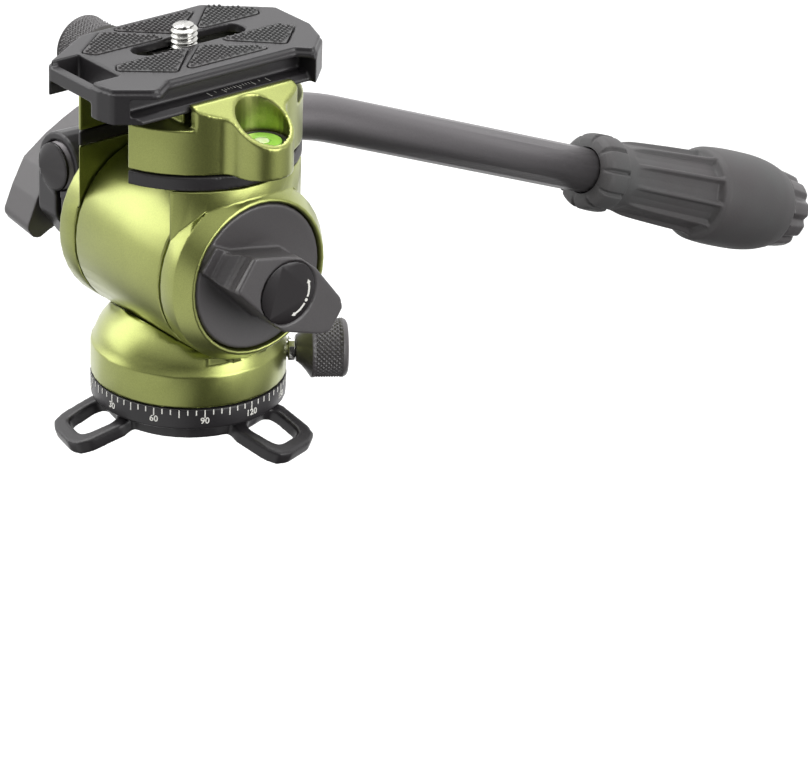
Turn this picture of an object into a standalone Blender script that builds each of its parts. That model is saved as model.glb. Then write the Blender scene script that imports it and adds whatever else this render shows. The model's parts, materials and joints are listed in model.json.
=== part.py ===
"""Fluid video head: pan base with strap loops, drag barrel, tilting frame, plate clamp and pan handle.

Units are metres, +Z is up.  The origin is on the pan axis, at the underside of the strap plate's hub,
where the head screws onto its support.  The lens side faces -Y, the pan handle reaches out to +Y,
and the tilt axis runs along X.
"""
import math

import bmesh
import bpy
from mathutils import Matrix, Vector
from mathutils.geometry import tessellate_polygon

# Clearances
SEAT_GAP = 0.0003
RUNNING_GAP = 0.0003
CUT_OVERRUN = 0.0020
EDGE_BREAK = 0.0004

# Facets of round pieces
LARGE_ROUND = 40
MEDIUM_ROUND = 24
SMALL_ROUND = 12
CORNER_STEPS = 2

# Strap plate and dial
HUB_RADIUS = 0.0200
HUB_THICKNESS = 0.0038
LOOP_COUNT = 3
FIRST_LOOP_ANGLE = math.radians(17.5)
LOOP_DROOP = math.radians(19.5)
LOOP_THICKNESS = 0.0036
LOOP_ROOT_RADIUS = 0.0170
LOOP_REACH = 0.0173
LOOP_ROOT_HALF_WIDTH = 0.0096
LOOP_TIP_HALF_WIDTH = 0.0082
LOOP_BAND = 0.0036
LOOP_CORNER = 0.0045
DIAL_RADIUS = 0.0235
DIAL_HEIGHT = 0.00525

# Pan spindle with its 3/8 inch socket
SOCKET_RADIUS = 0.0047625
SOCKET_DEPTH = 0.0125
SPINDLE_RADIUS = 0.0067
JOURNAL_RADIUS = 0.0090
JOURNAL_HEIGHT = 0.00665
STUD_RADIUS = 0.0040
WASHER_RADIUS = 0.0085
WASHER_THICKNESS = 0.0005
NUT_RADIUS = 0.0066
NUT_THICKNESS = 0.0014
PAN_RING_INNER = 0.0120
PAN_RING_OUTER = 0.0200
PAN_RING_HEIGHT = 0.0014

# Pan housing
HOUSING_WALL_HEIGHT = 0.0079
DOME_HEIGHT = 0.0095
DOME_SHARES = ((1.0, 0.0), (0.975, 0.08), (0.955, 0.22), (0.92, 0.42), (0.835, 0.70), (0.715, 1.0))
HOUSING_CEILING = 0.0011
HOUSING_FOOT_BREAK = 0.0003

# Pan lock
PAN_LOCK_ANGLE = math.radians(56.0)
PAN_LOCK_RISE = 0.00465
PAN_LOCK_SCREW_RADIUS = 0.0022
PAN_LOCK_COLLAR_RADIUS = 0.0030
PAN_LOCK_COLLAR_LENGTH = 0.0016
PAN_LOCK_NECK_RADIUS = 0.0034
PAN_LOCK_FLARE_RADIUS = 0.0055
PAN_LOCK_NECK_LENGTH = 0.0025
PAN_LOCK_HEAD_RADIUS = 0.0072
PAN_LOCK_HEAD_LENGTH = 0.0099
PAN_LOCK_CHAMFER = 0.0012
PAN_LOCK_SOCKET_DEPTH = 0.0080
PAN_SHOE_RADIUS = 0.0019
PAN_SHOE_LENGTH = 0.0030
KNURL_DEPTH = 0.0004
PAN_LOCK_RIDGES = 18

# Barrel and drag stack, measured along the tilt axis
SADDLE_DEPTH = 0.00615
BARREL_RADIUS = 0.0220
BARREL_LEFT = -0.0159
BARREL_RIGHT = 0.0174
BARREL_LEFT_WALL = 0.0060
BARREL_SHELL_THICKNESS = 0.0045
BARREL_COVER_THICKNESS = 0.0057
BARREL_SCREW_X = 0.0065
BARREL_SCREW_Y = 0.0120
BARREL_SCREW_RADIUS = 0.0013
BARREL_SCREW_HEAD_RADIUS = 0.0022
BARREL_SCREW_HEAD_HEIGHT = 0.0016
BARREL_SCREW_SEAT_RISE = 0.0008
BARREL_SCREW_REACH = 0.0024
SHAFT_RADIUS = 0.0050
BUSH_RADIUS = 0.0077
FIXED_DISC_COUNT = 3
FIXED_DISC_THICKNESS = 0.0030
TURNING_DISC_THICKNESS = 0.0035
TURNING_DISC_CLEARANCE = 0.0010
FIXED_DISC_BORE = 0.0065

# Tilting frame
LEFT_CHEEK_THICKNESS = 0.0064
RIGHT_CHEEK_WIDTH = 0.0054
RIGHT_CHEEK_CONE = 0.0039
RIGHT_CHEEK_CONE_INSET = 0.0028
KNOB_RECESS_RIM = 0.0009
RIGHT_CHEEK_WEB = 0.0049
COLUMN_RADIUS = 0.0262
FRAME_HEADROOM = 0.0010
SPACER_THICKNESS = 0.0034
CHANNEL_LEFT = -0.0159
CHANNEL_RIGHT = 0.0088
CHANNEL_BACK = 0.0100
CLAMP_SHELF_THICKNESS = 0.0112
CLAMP_SEAT_STEP = 0.0032
CLAMP_SEAT_LEFT = -0.0150
CLAMP_SEAT_RIGHT = 0.0165
DOWEL_RADIUS = 0.0020
DOWEL_REACH = 0.0042
DOWEL_RIGHT_INSET = 0.0026
DOWEL_Y = 0.0120

# Fixed jaw and level
JAW_TOP_STEP = 0.0056
JAW_FRONT = -0.0147
JAW_BACK = 0.0145
JAW_OUTER_CORNER = 0.0030
LEVEL_X = 0.0270
LEVEL_Y = 0.0002
LEVEL_LOBE_RADIUS = 0.0076
LEVEL_BORE_RADIUS = 0.0063
LEVEL_FILLET = 0.0035
LEVEL_TOP_SLOPE = math.radians(32.0)
LEVEL_TOP_DROP = 0.0042
LEVEL_FLOOR_THICKNESS = 0.0022
VIAL_HEIGHT = 0.0049
VIAL_WALL = 0.0010
BUBBLE_RADIUS = 0.0018

# Moving jaw and its knob
MOVING_JAW_HALF_WIDTH = 0.0100
MOVING_JAW_THICKNESS = 0.0060
MOVING_JAW_FOOT_DROP = 0.0086
CLAMP_KNOB_DROP = 0.0029
CLAMP_SCREW_RADIUS = 0.0020
CLAMP_SCREW_DEPTH = 0.0090
CLAMP_KNOB_COLLAR_RADIUS = 0.0048
CLAMP_KNOB_COLLAR_LENGTH = 0.0012
CLAMP_KNOB_RADIUS = 0.0078
CLAMP_KNOB_LENGTH = 0.0100
CLAMP_KNOB_RIDGES = 20
GUIDE_PIN_RADIUS = 0.0014
GUIDE_PIN_Y = 0.0070
GUIDE_PIN_DROP = 0.0046
GUIDE_PIN_DEPTH = 0.0060

# Quick release plate
PLATE_CENTRE_X = -0.0001
PLATE_HEIGHT = 0.0085
PLATE_FLARE_HALF_WIDTH = 0.0191
PLATE_FLARE_HEIGHT = 0.0008
PLATE_NECK_HALF_WIDTH = 0.0145
PLATE_LEDGE_RISE = 0.0011
PLATE_LEFT = -0.0193
PLATE_RIGHT = 0.0209
PLATE_BAND_HEIGHT = 0.0012
PLATE_TOP_HEIGHT = 0.0012
PLATE_TOP_INSET = 0.0006
PLATE_WAIST_X = 0.0174
PLATE_FRONT = -0.0345
PLATE_BACK = 0.0306
PLATE_FRONT_LOBE_END = -0.0300
PLATE_BACK_LOBE_END = 0.0204
PLATE_WAIST_FRONT = -0.0190
PLATE_WAIST_BACK = 0.0172
PLATE_FRONT_LEFT_CUT = ((0.0105, 0.0), (0.0008, 0.0155))
PLATE_FRONT_RIGHT_CUT = ((0.0103, 0.0), (0.0059, 0.0010), (0.0006, 0.0086), (0.0, 0.0105))
PLATE_BACK_RIGHT_CUT = ((0.0, 0.0100), (0.0065, 0.0031), (0.0145, 0.0))
PLATE_BACK_LEFT_CUT = ((0.0122, 0.0), (0.0004, 0.0140))
PLATE_CORNER = 0.0015
SLOT_HALF_WIDTH = 0.0034
SLOT_CENTRE_X = -0.0015
SLOT_FRONT = -0.0155
SLOT_BACK = 0.0160
CARRIAGE_CHANNEL_HALF_WIDTH = 0.0066
CARRIAGE_CHANNEL_FRONT = -0.0190
CARRIAGE_CHANNEL_BACK = 0.0215
CARRIAGE_CHANNEL_DEPTH = 0.0061
WINDOW_LEFT = -0.0082
WINDOW_RIGHT = 0.0080
WINDOW_FRONT = -0.0322
WINDOW_BACK = -0.0262
STRAP_BAR_THICKNESS = 0.0034
STRAP_BAR_DROP = 0.0015
PAD_DEPTH = 0.0006
PAD_STAND = 0.0005
PAD_CORNER = 0.0008
PAD_FRONT_SHARES = ((0.24, 0.09), (0.87, 0.465), (0.40, 0.82), (0.24, 0.76))
PAD_MIDDLE_SHARES = ((0.27, 0.0), (0.87, -0.38), (0.87, 0.44))
PAD_BACK_SHARES = ((0.24, 0.19), (0.87, 0.56), (0.42, 0.84), (0.24, 0.78))

# Camera screw, 1/4 inch
CAMERA_SCREW_Y = -0.0010
CAMERA_SCREW_RADIUS = 0.003175
CAMERA_SCREW_STAND = 0.0040
CAMERA_SCREW_HEAD_RADIUS = 0.0056
CAMERA_SCREW_HEAD_HEIGHT = 0.0024
CAMERA_SCREW_KEY_RADIUS = 0.0022
CAMERA_SCREW_KEY_DEPTH = 0.0016
CAMERA_SCREW_TIP_CHAMFER = 0.0006
CARRIAGE_HALF_WIDTH = 0.0062
CARRIAGE_HALF_LENGTH = 0.0070
CARRIAGE_THICKNESS = 0.0015

# Tilt lock knob
TILT_FLANGE_CLEARANCE = 0.0004
TILT_FLANGE_THICKNESS = 0.0038
TILT_FLANGE_DISH = 0.0010
TILT_BAR_TOP = 0.0383
TILT_BAR_ANGLE = math.radians(-36.0)
TILT_BAR_HALF_WIDTH = 0.0086
TILT_BAR_TIP = 0.0180
TILT_BAR_SHARES = (
    (-0.78, -0.68), (0.26, -0.99), (0.86, -0.57), (1.0, -0.36), (0.99, 0.37), (0.87, 0.58), (0.24, 0.95),
    (-0.08, 0.99), (-0.44, 0.73), (-0.80, 0.40))
TILT_LEDGE_SHARES = ((-0.955, -0.64), (-0.50, -0.72), (-0.50, 0.30), (-0.955, 0.14))
TILT_LEDGE_HEIGHT = 0.0013
TILT_BAR_CORNER = 0.0008
TILT_SCOOP_SHARE = 0.80
TILT_SIDE_ANGLE = math.radians(24.4)
TILT_SIDE_REACH = 0.0090
TILT_SIDE_TAPER = 0.0023
TILT_SCOOP_SHARES = ((0.06, 0.0), (-0.05, 0.10), (-0.115, 0.30), (-0.115, 0.50), (-0.07, 0.75), (0.06, 1.0))
TILT_LABEL_RADIUS = 0.00775
TILT_LABEL_THICKNESS = 0.0006
TILT_SCREW_RADIUS = 0.0028
TILT_SCREW_DEPTH = 0.0110
TILT_SCREW_HEAD_DEPTH = 0.0075

# Pan handle, in the vertical plane that holds its tube
ROSETTE_STACK = 0.0036
HANDLE_TUBE_RADIUS = 0.0060
HANDLE_TUBE_WALL = 0.0012
HANDLE_TUBE_FRONT = -0.0144
HANDLE_TUBE_FRONT_RISE = 0.0105
HANDLE_FIRST_SLOPE = math.radians(-2.07)
HANDLE_SECOND_SLOPE = math.radians(-21.8)
HANDLE_CORNER_Y = 0.0578
HANDLE_BEND_RADIUS = 0.0750
HANDLE_BEND_STEPS = 9
HANDLE_PLUG_STAND = 0.0004
HANDLE_PLUG_DEPTH = 0.0060
HANDLE_BOSS_RADIUS = 0.0083
HANDLE_BOSS_FRONT = -0.0137
HANDLE_BOSS_BACK = 0.0140
HANDLE_EAR_HALF_WIDTH = 0.0083
HANDLE_EAR_RADIUS = 0.0125
HANDLE_SLOT_WIDTH = 0.0020
HANDLE_ROSETTE_RADIUS = 0.0110
HANDLE_ROSETTE_TEETH = 36
HANDLE_BOLT_RADIUS = 0.0028
HANDLE_BOLT_DEPTH = 0.0100

# Handle grip, measured along the tube's second stretch from the corner
GRIP_START = 0.1055
GRIP_TUBE_DEPTH = 0.0680
GRIP_END_WALL = 0.0055
GRIP_FLUTES = 12
GRIP_FLUTE_DEPTH = 0.0014
GRIP_FLUTE_START_SHARE = 0.13
GRIP_FLUTE_END_SHARE = 0.60
GRIP_RADIUS = 0.0133
GRIP_SHARES = (
    (0.0, 0.64), (0.030, 0.77), (0.103, 0.77), (0.117, 0.67), (0.16, 0.67), (0.23, 0.75), (0.42, 0.81),
    (0.56, 0.84), (0.60, 0.90), (0.622, 0.97), (0.71, 1.0), (0.85, 0.995), (0.93, 0.945), (1.0, 0.85))
GRIP_CAP_LENGTH = 0.0078
GRIP_CAP_NOTCHES = 10
GRIP_CAP_NOTCH = 0.0012
GRIP_CAP_SHARES = ((0.0, 0.83), (0.45, 0.80), (0.85, 0.76), (1.0, 0.70))

# Handle lock knob
WING_HUB_RADIUS = 0.0085
WING_HUB_LENGTH = 0.0040
WING_LENGTH = 0.0118
WING_REACH = 0.0180
WING_HALF_WIDTH = 0.0081
WING_ANGLE = math.radians(58.0)
WING_CORNER = 0.0016
WING_SHARES = (
    (-0.06, 1.0), (-0.49, 0.94), (-0.905, 0.79), (-0.99, 0.37), (-0.93, 0.15), (-0.68, -0.21),
    (-0.38, -0.59))
WING_TAPER = 0.07

# Colours, as the photograph shows them
GREEN = (0.31, 0.40, 0.055, 1.0)
BLACK_METAL = (0.035, 0.034, 0.037, 1.0)
BLACK_POLYMER = (0.045, 0.045, 0.048, 1.0)
BLACK_RUBBER = (0.028, 0.028, 0.030, 1.0)
TUBE_BLACK = (0.050, 0.048, 0.054, 1.0)
STEEL = (0.62, 0.62, 0.63, 1.0)
BRONZE = (0.48, 0.30, 0.13, 1.0)
PALE_POLYMER = (0.70, 0.69, 0.64, 1.0)
LEVEL_GREEN = (0.30, 0.75, 0.06, 1.0)
CLEAR = (0.85, 0.95, 0.80, 1.0)

# Heights and places worked out from the sizes above
DIAL_BOTTOM = HUB_THICKNESS + SEAT_GAP
DIAL_TOP = DIAL_BOTTOM + DIAL_HEIGHT
HOUSING_BOTTOM = DIAL_TOP + RUNNING_GAP
HOUSING_SHOULDER = HOUSING_BOTTOM + HOUSING_WALL_HEIGHT
HOUSING_TOP = HOUSING_SHOULDER + DOME_HEIGHT
PAN_LOCK_HEIGHT = HOUSING_BOTTOM + PAN_LOCK_RISE
JOURNAL_TOP = HOUSING_BOTTOM + JOURNAL_HEIGHT
WASHER_BOTTOM = JOURNAL_TOP + RUNNING_GAP
CEILING_BOTTOM = WASHER_BOTTOM + WASHER_THICKNESS + RUNNING_GAP
CEILING_TOP = CEILING_BOTTOM + HOUSING_CEILING
NUT_BOTTOM = CEILING_TOP + RUNNING_GAP
STUD_TOP = NUT_BOTTOM + NUT_THICKNESS
TILT_AXIS_HEIGHT = HOUSING_TOP - SADDLE_DEPTH + BARREL_RADIUS
BARREL_CAVITY_RADIUS = BARREL_RADIUS - BARREL_SHELL_THICKNESS
TURNING_DISC_RADIUS = BARREL_CAVITY_RADIUS - TURNING_DISC_CLEARANCE
BARREL_SCREW_SEAT_HEIGHT = TILT_AXIS_HEIGHT - BARREL_CAVITY_RADIUS + BARREL_SCREW_SEAT_RISE
BARREL_SCREW_TIP_HEIGHT = TILT_AXIS_HEIGHT - BARREL_RADIUS - BARREL_SCREW_REACH
RIGHT_CHEEK_CONE_RADIUS = BARREL_RADIUS - RIGHT_CHEEK_CONE_INSET
KNOB_RECESS_RADIUS = RIGHT_CHEEK_CONE_RADIUS - KNOB_RECESS_RIM
TILT_FLANGE_RADIUS = KNOB_RECESS_RADIUS - TILT_FLANGE_CLEARANCE
SADDLE_RADIUS = BARREL_RADIUS + SEAT_GAP
CAVITY_LEFT = BARREL_LEFT + BARREL_LEFT_WALL
COVER_RIGHT = BARREL_RIGHT - SEAT_GAP
COVER_LEFT = COVER_RIGHT - BARREL_COVER_THICKNESS
LEFT_CHEEK_IN = BARREL_LEFT - RUNNING_GAP
LEFT_CHEEK_OUT = LEFT_CHEEK_IN - LEFT_CHEEK_THICKNESS
RIGHT_CHEEK_IN = BARREL_RIGHT + RUNNING_GAP
RIGHT_CHEEK_OUT = RIGHT_CHEEK_IN + RIGHT_CHEEK_WIDTH + RIGHT_CHEEK_CONE
KNOB_RECESS_X = RIGHT_CHEEK_IN + RIGHT_CHEEK_WEB
DOWEL_LEFT_X = (LEFT_CHEEK_IN + LEFT_CHEEK_OUT) / 2
DOWEL_RIGHT_X = RIGHT_CHEEK_IN + DOWEL_RIGHT_INSET
FRAME_TOP_HEIGHT = TILT_AXIS_HEIGHT + BARREL_RADIUS + FRAME_HEADROOM
SPACER_BOTTOM = FRAME_TOP_HEIGHT + SEAT_GAP
SPACER_TOP = SPACER_BOTTOM + SPACER_THICKNESS
CLAMP_BOTTOM = SPACER_TOP + SEAT_GAP
CLAMP_SHELF = CLAMP_BOTTOM + CLAMP_SHELF_THICKNESS
CLAMP_SEAT = CLAMP_SHELF + CLAMP_SEAT_STEP
JAW_TOP = CLAMP_SHELF + JAW_TOP_STEP
LEVEL_TOP_HEIGHT = JAW_TOP - LEVEL_TOP_DROP
MOVING_JAW_FOOT_HEIGHT = CLAMP_SHELF - MOVING_JAW_FOOT_DROP
CLAMP_KNOB_HEIGHT = CLAMP_SHELF - CLAMP_KNOB_DROP
GUIDE_PIN_HEIGHT = CLAMP_SHELF - GUIDE_PIN_DROP
PLATE_BOTTOM = CLAMP_SEAT + SEAT_GAP
PLATE_TOP = PLATE_BOTTOM + PLATE_HEIGHT
PLATE_BAND_TOP = PLATE_TOP - PLATE_TOP_HEIGHT
PLATE_BAND_BOTTOM = PLATE_BAND_TOP - PLATE_BAND_HEIGHT
FLARE_TOP = PLATE_BOTTOM + PLATE_FLARE_HEIGHT
JAW_BITE = PLATE_FLARE_HALF_WIDTH + SEAT_GAP * math.sqrt(2.0)
TILT_KNOB_IN = KNOB_RECESS_X + RUNNING_GAP
TILT_FLANGE_OUT = TILT_KNOB_IN + TILT_FLANGE_THICKNESS
HANDLE_X = LEFT_CHEEK_OUT - ROSETTE_STACK - HANDLE_EAR_HALF_WIDTH
EAR_RIGHT = HANDLE_X + HANDLE_EAR_HALF_WIDTH
GRIP_END = GRIP_START + GRIP_TUBE_DEPTH + GRIP_END_WALL
EAR_LEFT = HANDLE_X - HANDLE_EAR_HALF_WIDTH
ROSETTE_THICKNESS = (LEFT_CHEEK_OUT - EAR_RIGHT - SEAT_GAP) / 2 - SEAT_GAP
WING_RIGHT = EAR_LEFT - RUNNING_GAP
MOVING_JAW_RIGHT = -COLUMN_RADIUS - SEAT_GAP
MOVING_JAW_LEFT = MOVING_JAW_RIGHT - MOVING_JAW_THICKNESS
CLAMP_KNOB_RIGHT = MOVING_JAW_LEFT - RUNNING_GAP


def clear_scene():
    for thing in list(bpy.data.objects):
        bpy.data.objects.remove(thing, do_unlink=True)


def along_y(u, v, h):
    return Vector((u, h, v))


def along_z(u, v, h):
    return Vector((u, v, h))


def about_tilt_axis(u, v, h):
    return Vector((h, u, TILT_AXIS_HEIGHT + v))


def along_pan_lock(u, v, h):
    outward = Vector((math.cos(PAN_LOCK_ANGLE), math.sin(PAN_LOCK_ANGLE), 0.0))
    sideways = Vector((-math.sin(PAN_LOCK_ANGLE), math.cos(PAN_LOCK_ANGLE), 0.0))
    return outward * h + sideways * u + Vector((0.0, 0.0, PAN_LOCK_HEIGHT + v))


def along_clamp_knob(u, v, h):
    return Vector((-h, u, CLAMP_KNOB_HEIGHT + v))


def surface(name, colour, roughness, metallic):
    material = bpy.data.materials.new(name + "_material")
    material.use_nodes = True
    shader = material.node_tree.nodes["Principled BSDF"]
    shader.inputs["Base Color"].default_value = colour
    shader.inputs["Roughness"].default_value = roughness
    shader.inputs["Metallic"].default_value = metallic
    return material


def solid(name, shape, joint=None, look=None):
    """Turn a finished bmesh into a named object; its joint empty, if it has one, becomes its parent."""
    bmesh.ops.recalc_face_normals(shape, faces=shape.faces)
    mesh = bpy.data.meshes.new(name)
    shape.to_mesh(mesh)
    shape.free()
    mesh.shade_smooth()
    mesh.set_sharp_from_angle(angle=math.radians(30.0))
    piece = bpy.data.objects.new(name, mesh)
    bpy.context.scene.collection.objects.link(piece)
    if look is not None:
        mesh.materials.append(surface(name, *look))
    if joint is not None:
        piece.parent = joint
        piece.matrix_parent_inverse = Matrix.Translation(-joint.location)
    return piece


def joint_empty(name, place):
    empty = bpy.data.objects.new(name, None)
    empty.location = place
    bpy.context.scene.collection.objects.link(empty)
    return empty


def guide(piece):
    piece.hide_render = True
    piece.display_type = "WIRE"
    return piece


def combine(piece, others, operation):
    for other in others:
        guide(other)
        boolean = piece.modifiers.new(operation.lower() + "_" + other.name, "BOOLEAN")
        boolean.operation = operation
        boolean.solver = "EXACT"
        boolean.object = other
    return piece


def cut(piece, *cutters):
    return combine(piece, cutters, "DIFFERENCE")


def unite(piece, *others):
    return combine(piece, others, "UNION")


def keep_common(piece, *others):
    return combine(piece, others, "INTERSECT")


def turned(name, profile, place, steps=MEDIUM_ROUND, ring=False, joint=None, look=None, waves=None):
    """Revolve (height, radius) points about the local axis.

    A ring's profile closes on itself.  waves(index, height, radius) may change the radius of each facet.
    """
    shape = bmesh.new()
    rings = []
    for height, radius in profile:
        if radius <= 0.0:
            rings.append([shape.verts.new(place(0.0, 0.0, height))])
            continue
        verts = []
        for index in range(steps):
            angle = math.tau * index / steps
            reach = waves(index, height, radius) if waves else radius
            verts.append(shape.verts.new(place(reach * math.cos(angle), reach * math.sin(angle), height)))
        rings.append(verts)
    pairs = list(zip(rings, rings[1:]))
    if ring:
        pairs.append((rings[-1], rings[0]))
    for first, second in pairs:
        for index in range(steps):
            after = (index + 1) % steps
            corners = [first[index % len(first)], first[after % len(first)],
                       second[after % len(second)], second[index % len(second)]]
            face = [corner for place_in_face, corner in enumerate(corners)
                    if corner not in corners[:place_in_face]]
            if len(face) > 2:
                shape.faces.new(face)
    if not ring:
        for end in (rings[0], rings[-1]):
            if len(end) > 1:
                shape.faces.new(end)
    return solid(name, shape, joint, look)


def rod(name, start, end, radius, place, steps=SMALL_ROUND, joint=None, look=None):
    return turned(name, ((start, radius), (end, radius)), place, steps, False, joint, look)


def washer(name, start, end, bore, radius, place, steps=MEDIUM_ROUND, joint=None, look=None, edge=0.0):
    """A ring with square bores and outer edges broken by a chamfer."""
    profile = [(start, bore), (start, radius - edge), (start + edge, radius),
               (end - edge, radius), (end, radius - edge), (end, bore)]
    if edge <= 0.0:
        profile = [(start, bore), (start, radius), (end, radius), (end, bore)]
    return turned(name, profile, place, steps, True, joint, look)


def prism(name, loops, low, high, place, joint=None, look=None):
    """Extrude an outline, given first, and its holes from low to high."""
    shape = bmesh.new()
    loops = [[Vector((u, v, 0.0)) for u, v in loop] for loop in loops]
    corners = [point for loop in loops for point in loop]
    bottom = [shape.verts.new(place(point.x, point.y, low)) for point in corners]
    top = [shape.verts.new(place(point.x, point.y, high)) for point in corners]
    if len(loops) == 1:
        shape.faces.new(bottom)
        shape.faces.new(top)
    else:
        for triangle in tessellate_polygon(loops):
            shape.faces.new([bottom[index] for index in triangle])
            shape.faces.new([top[index] for index in triangle])
    start = 0
    for loop in loops:
        count = len(loop)
        for index in range(count):
            here = start + index
            after = start + (index + 1) % count
            shape.faces.new((bottom[here], bottom[after], top[after], top[here]))
        start += count
    return solid(name, shape, joint, look)


def block(name, low_corner, high_corner, joint=None, look=None):
    outline = ((low_corner[0], low_corner[1]), (high_corner[0], low_corner[1]),
               (high_corner[0], high_corner[1]), (low_corner[0], high_corner[1]))
    return prism(name, [outline], low_corner[2], high_corner[2], along_z, joint, look)


def rounded(points, radius, steps=CORNER_STEPS):
    """Round each corner of an outline; a fillet is limited by the sides that it joins."""
    outline = []
    count = len(points)
    for index in range(count):
        here = Vector(points[index])
        before = Vector(points[index - 1]) - here
        after = Vector(points[(index + 1) % count]) - here
        turn = before.angle(after) / 2
        setback = min(radius / math.tan(turn), before.length / 2, after.length / 2)
        reach = setback * math.tan(turn)
        centre = here + (before.normalized() + after.normalized()).normalized() * setback / math.cos(turn)
        first = here + before.normalized() * setback - centre
        sweep = (math.pi - 2 * turn) * (1 if before.cross(after) < 0.0 else -1)
        for step in range(steps + 1):
            angle = sweep * step / steps
            turned_arm = Vector((first.x * math.cos(angle) - first.y * math.sin(angle),
                                 first.x * math.sin(angle) + first.y * math.cos(angle)))
            outline.append(tuple(centre + turned_arm.normalized() * reach))
    return outline


def circle(u, v, radius, steps=SMALL_ROUND):
    return [(u + radius * math.cos(math.tau * index / steps),
             v + radius * math.sin(math.tau * index / steps))
            for index in range(steps)]


def slot_outline(u, low, high, half_width, steps=SMALL_ROUND):
    """A slot along v with round ends."""
    half = steps // 2
    turns = [math.pi * index / half for index in range(half + 1)]
    top = [(u + half_width * math.cos(turn), high - half_width + half_width * math.sin(turn))
           for turn in turns]
    bottom = [(u - half_width * math.cos(turn), low + half_width - half_width * math.sin(turn))
              for turn in turns]
    return top + bottom


def grown(points, distance):
    """Move each side of an anticlockwise outline outwards by a distance."""
    outline = []
    count = len(points)
    for index in range(count):
        here = Vector(points[index])
        before = (here - Vector(points[index - 1])).normalized()
        after = (Vector(points[(index + 1) % count]) - here).normalized()
        out_before = Vector((before.y, -before.x))
        out_after = Vector((after.y, -after.x))
        middle = (out_before + out_after).normalized()
        outline.append(tuple(here + middle * distance / middle.dot(out_before)))
    return outline


def at_place(x, y):
    def place(u, v, h):
        return Vector((x + u, y + v, h))
    return place


def several(name, places, profile, steps, joint=None, look=None):
    """Identical turned fasteners, numbered from 1."""
    for number, (x, y) in enumerate(places):
        turned("%s_%d" % (name, number + 1), profile, at_place(x, y), steps, False, joint, look)


ANODISED_GREEN = (GREEN, 0.32, 0.85)
ANODISED_BLACK = (BLACK_METAL, 0.40, 0.60)
MOULDED_BLACK = (BLACK_POLYMER, 0.50, 0.0)
RUBBER_BLACK = (BLACK_RUBBER, 0.80, 0.0)
TUBE_FINISH = (TUBE_BLACK, 0.38, 0.55)
BRIGHT_STEEL = (STEEL, 0.25, 1.0)
BEARING_BRONZE = (BRONZE, 0.40, 1.0)
DRAG_POLYMER = (PALE_POLYMER, 0.55, 0.0)
LEVEL_LIQUID = (LEVEL_GREEN, 0.15, 0.0)
LEVEL_GAS = (CLEAR, 0.05, 0.0)


def loop_place(angle):
    """Local u runs outwards down the drooping arm, v sideways, h up out of its top face."""
    outward = Vector((math.cos(angle), math.sin(angle), 0.0))
    down_arm = outward * math.cos(LOOP_DROOP) - Vector((0.0, 0.0, math.sin(LOOP_DROOP)))
    sideways = Vector((-math.sin(angle), math.cos(angle), 0.0))
    upward = outward * math.sin(LOOP_DROOP) + Vector((0.0, 0.0, math.cos(LOOP_DROOP)))
    root = outward * LOOP_ROOT_RADIUS + Vector((0.0, 0.0, HUB_THICKNESS))

    def place(u, v, h):
        return root + down_arm * u + sideways * v + upward * h
    return place


def strap_plate():
    bore = SPINDLE_RADIUS + SEAT_GAP
    hub = prism("strap_loop_plate", [circle(0.0, 0.0, HUB_RADIUS, LARGE_ROUND), circle(0.0, 0.0, bore)],
                0.0, HUB_THICKNESS, along_z, None, ANODISED_BLACK)
    root_width = LOOP_ROOT_HALF_WIDTH
    tip_width = LOOP_TIP_HALF_WIDTH
    reach = LOOP_REACH
    outer = rounded(((0.0, -root_width), (reach, -tip_width), (reach, tip_width), (0.0, root_width)),
                    LOOP_CORNER)
    hole_start = (HUB_RADIUS - LOOP_ROOT_RADIUS) / math.cos(LOOP_DROOP) + EDGE_BREAK
    hole_end = reach - LOOP_BAND
    hole = rounded(((hole_start, LOOP_BAND - root_width), (hole_end, LOOP_BAND - tip_width),
                    (hole_end, tip_width - LOOP_BAND), (hole_start, root_width - LOOP_BAND)),
                   LOOP_CORNER / 2)
    arms = []
    for index in range(LOOP_COUNT):
        place = loop_place(FIRST_LOOP_ANGLE + math.tau * index / LOOP_COUNT)
        arm = prism("strap_arm_%d" % index, [outer, hole], -LOOP_THICKNESS, 0.0, place)
        arms.append(arm)
    unite(hub, *arms)
    return hub


def pan_dial():
    bore = SPINDLE_RADIUS + SEAT_GAP
    return washer("pan_dial", DIAL_BOTTOM, DIAL_TOP, bore, DIAL_RADIUS, along_z, LARGE_ROUND, None,
                  ANODISED_BLACK, HOUSING_FOOT_BREAK)


def pan_spindle():
    low = SEAT_GAP
    profile = ((low, SOCKET_RADIUS), (low, SPINDLE_RADIUS), (HOUSING_BOTTOM, SPINDLE_RADIUS),
               (HOUSING_BOTTOM, JOURNAL_RADIUS), (JOURNAL_TOP, JOURNAL_RADIUS), (JOURNAL_TOP, STUD_RADIUS),
               (STUD_TOP, STUD_RADIUS), (STUD_TOP, 0.0))
    inside = ((SOCKET_DEPTH, 0.0), (SOCKET_DEPTH, SOCKET_RADIUS))
    return turned("pan_spindle", inside + profile, along_z, MEDIUM_ROUND, False, None, BRIGHT_STEEL)


def pan_washer_and_nut():
    washer("pan_thrust_washer", WASHER_BOTTOM, WASHER_BOTTOM + WASHER_THICKNESS, STUD_RADIUS + SEAT_GAP,
           WASHER_RADIUS, along_z, MEDIUM_ROUND, None, BEARING_BRONZE)
    hexagon = circle(0.0, 0.0, NUT_RADIUS, 6)
    prism("pan_nut", [hexagon, circle(0.0, 0.0, STUD_RADIUS + SEAT_GAP)], NUT_BOTTOM,
          NUT_BOTTOM + NUT_THICKNESS, along_z, None, BRIGHT_STEEL)


def pan_drag_ring():
    low = DIAL_TOP + SEAT_GAP
    return washer("pan_drag_ring", low, low + PAN_RING_HEIGHT, PAN_RING_INNER, PAN_RING_OUTER, along_z,
                  LARGE_ROUND, None, DRAG_POLYMER)


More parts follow.
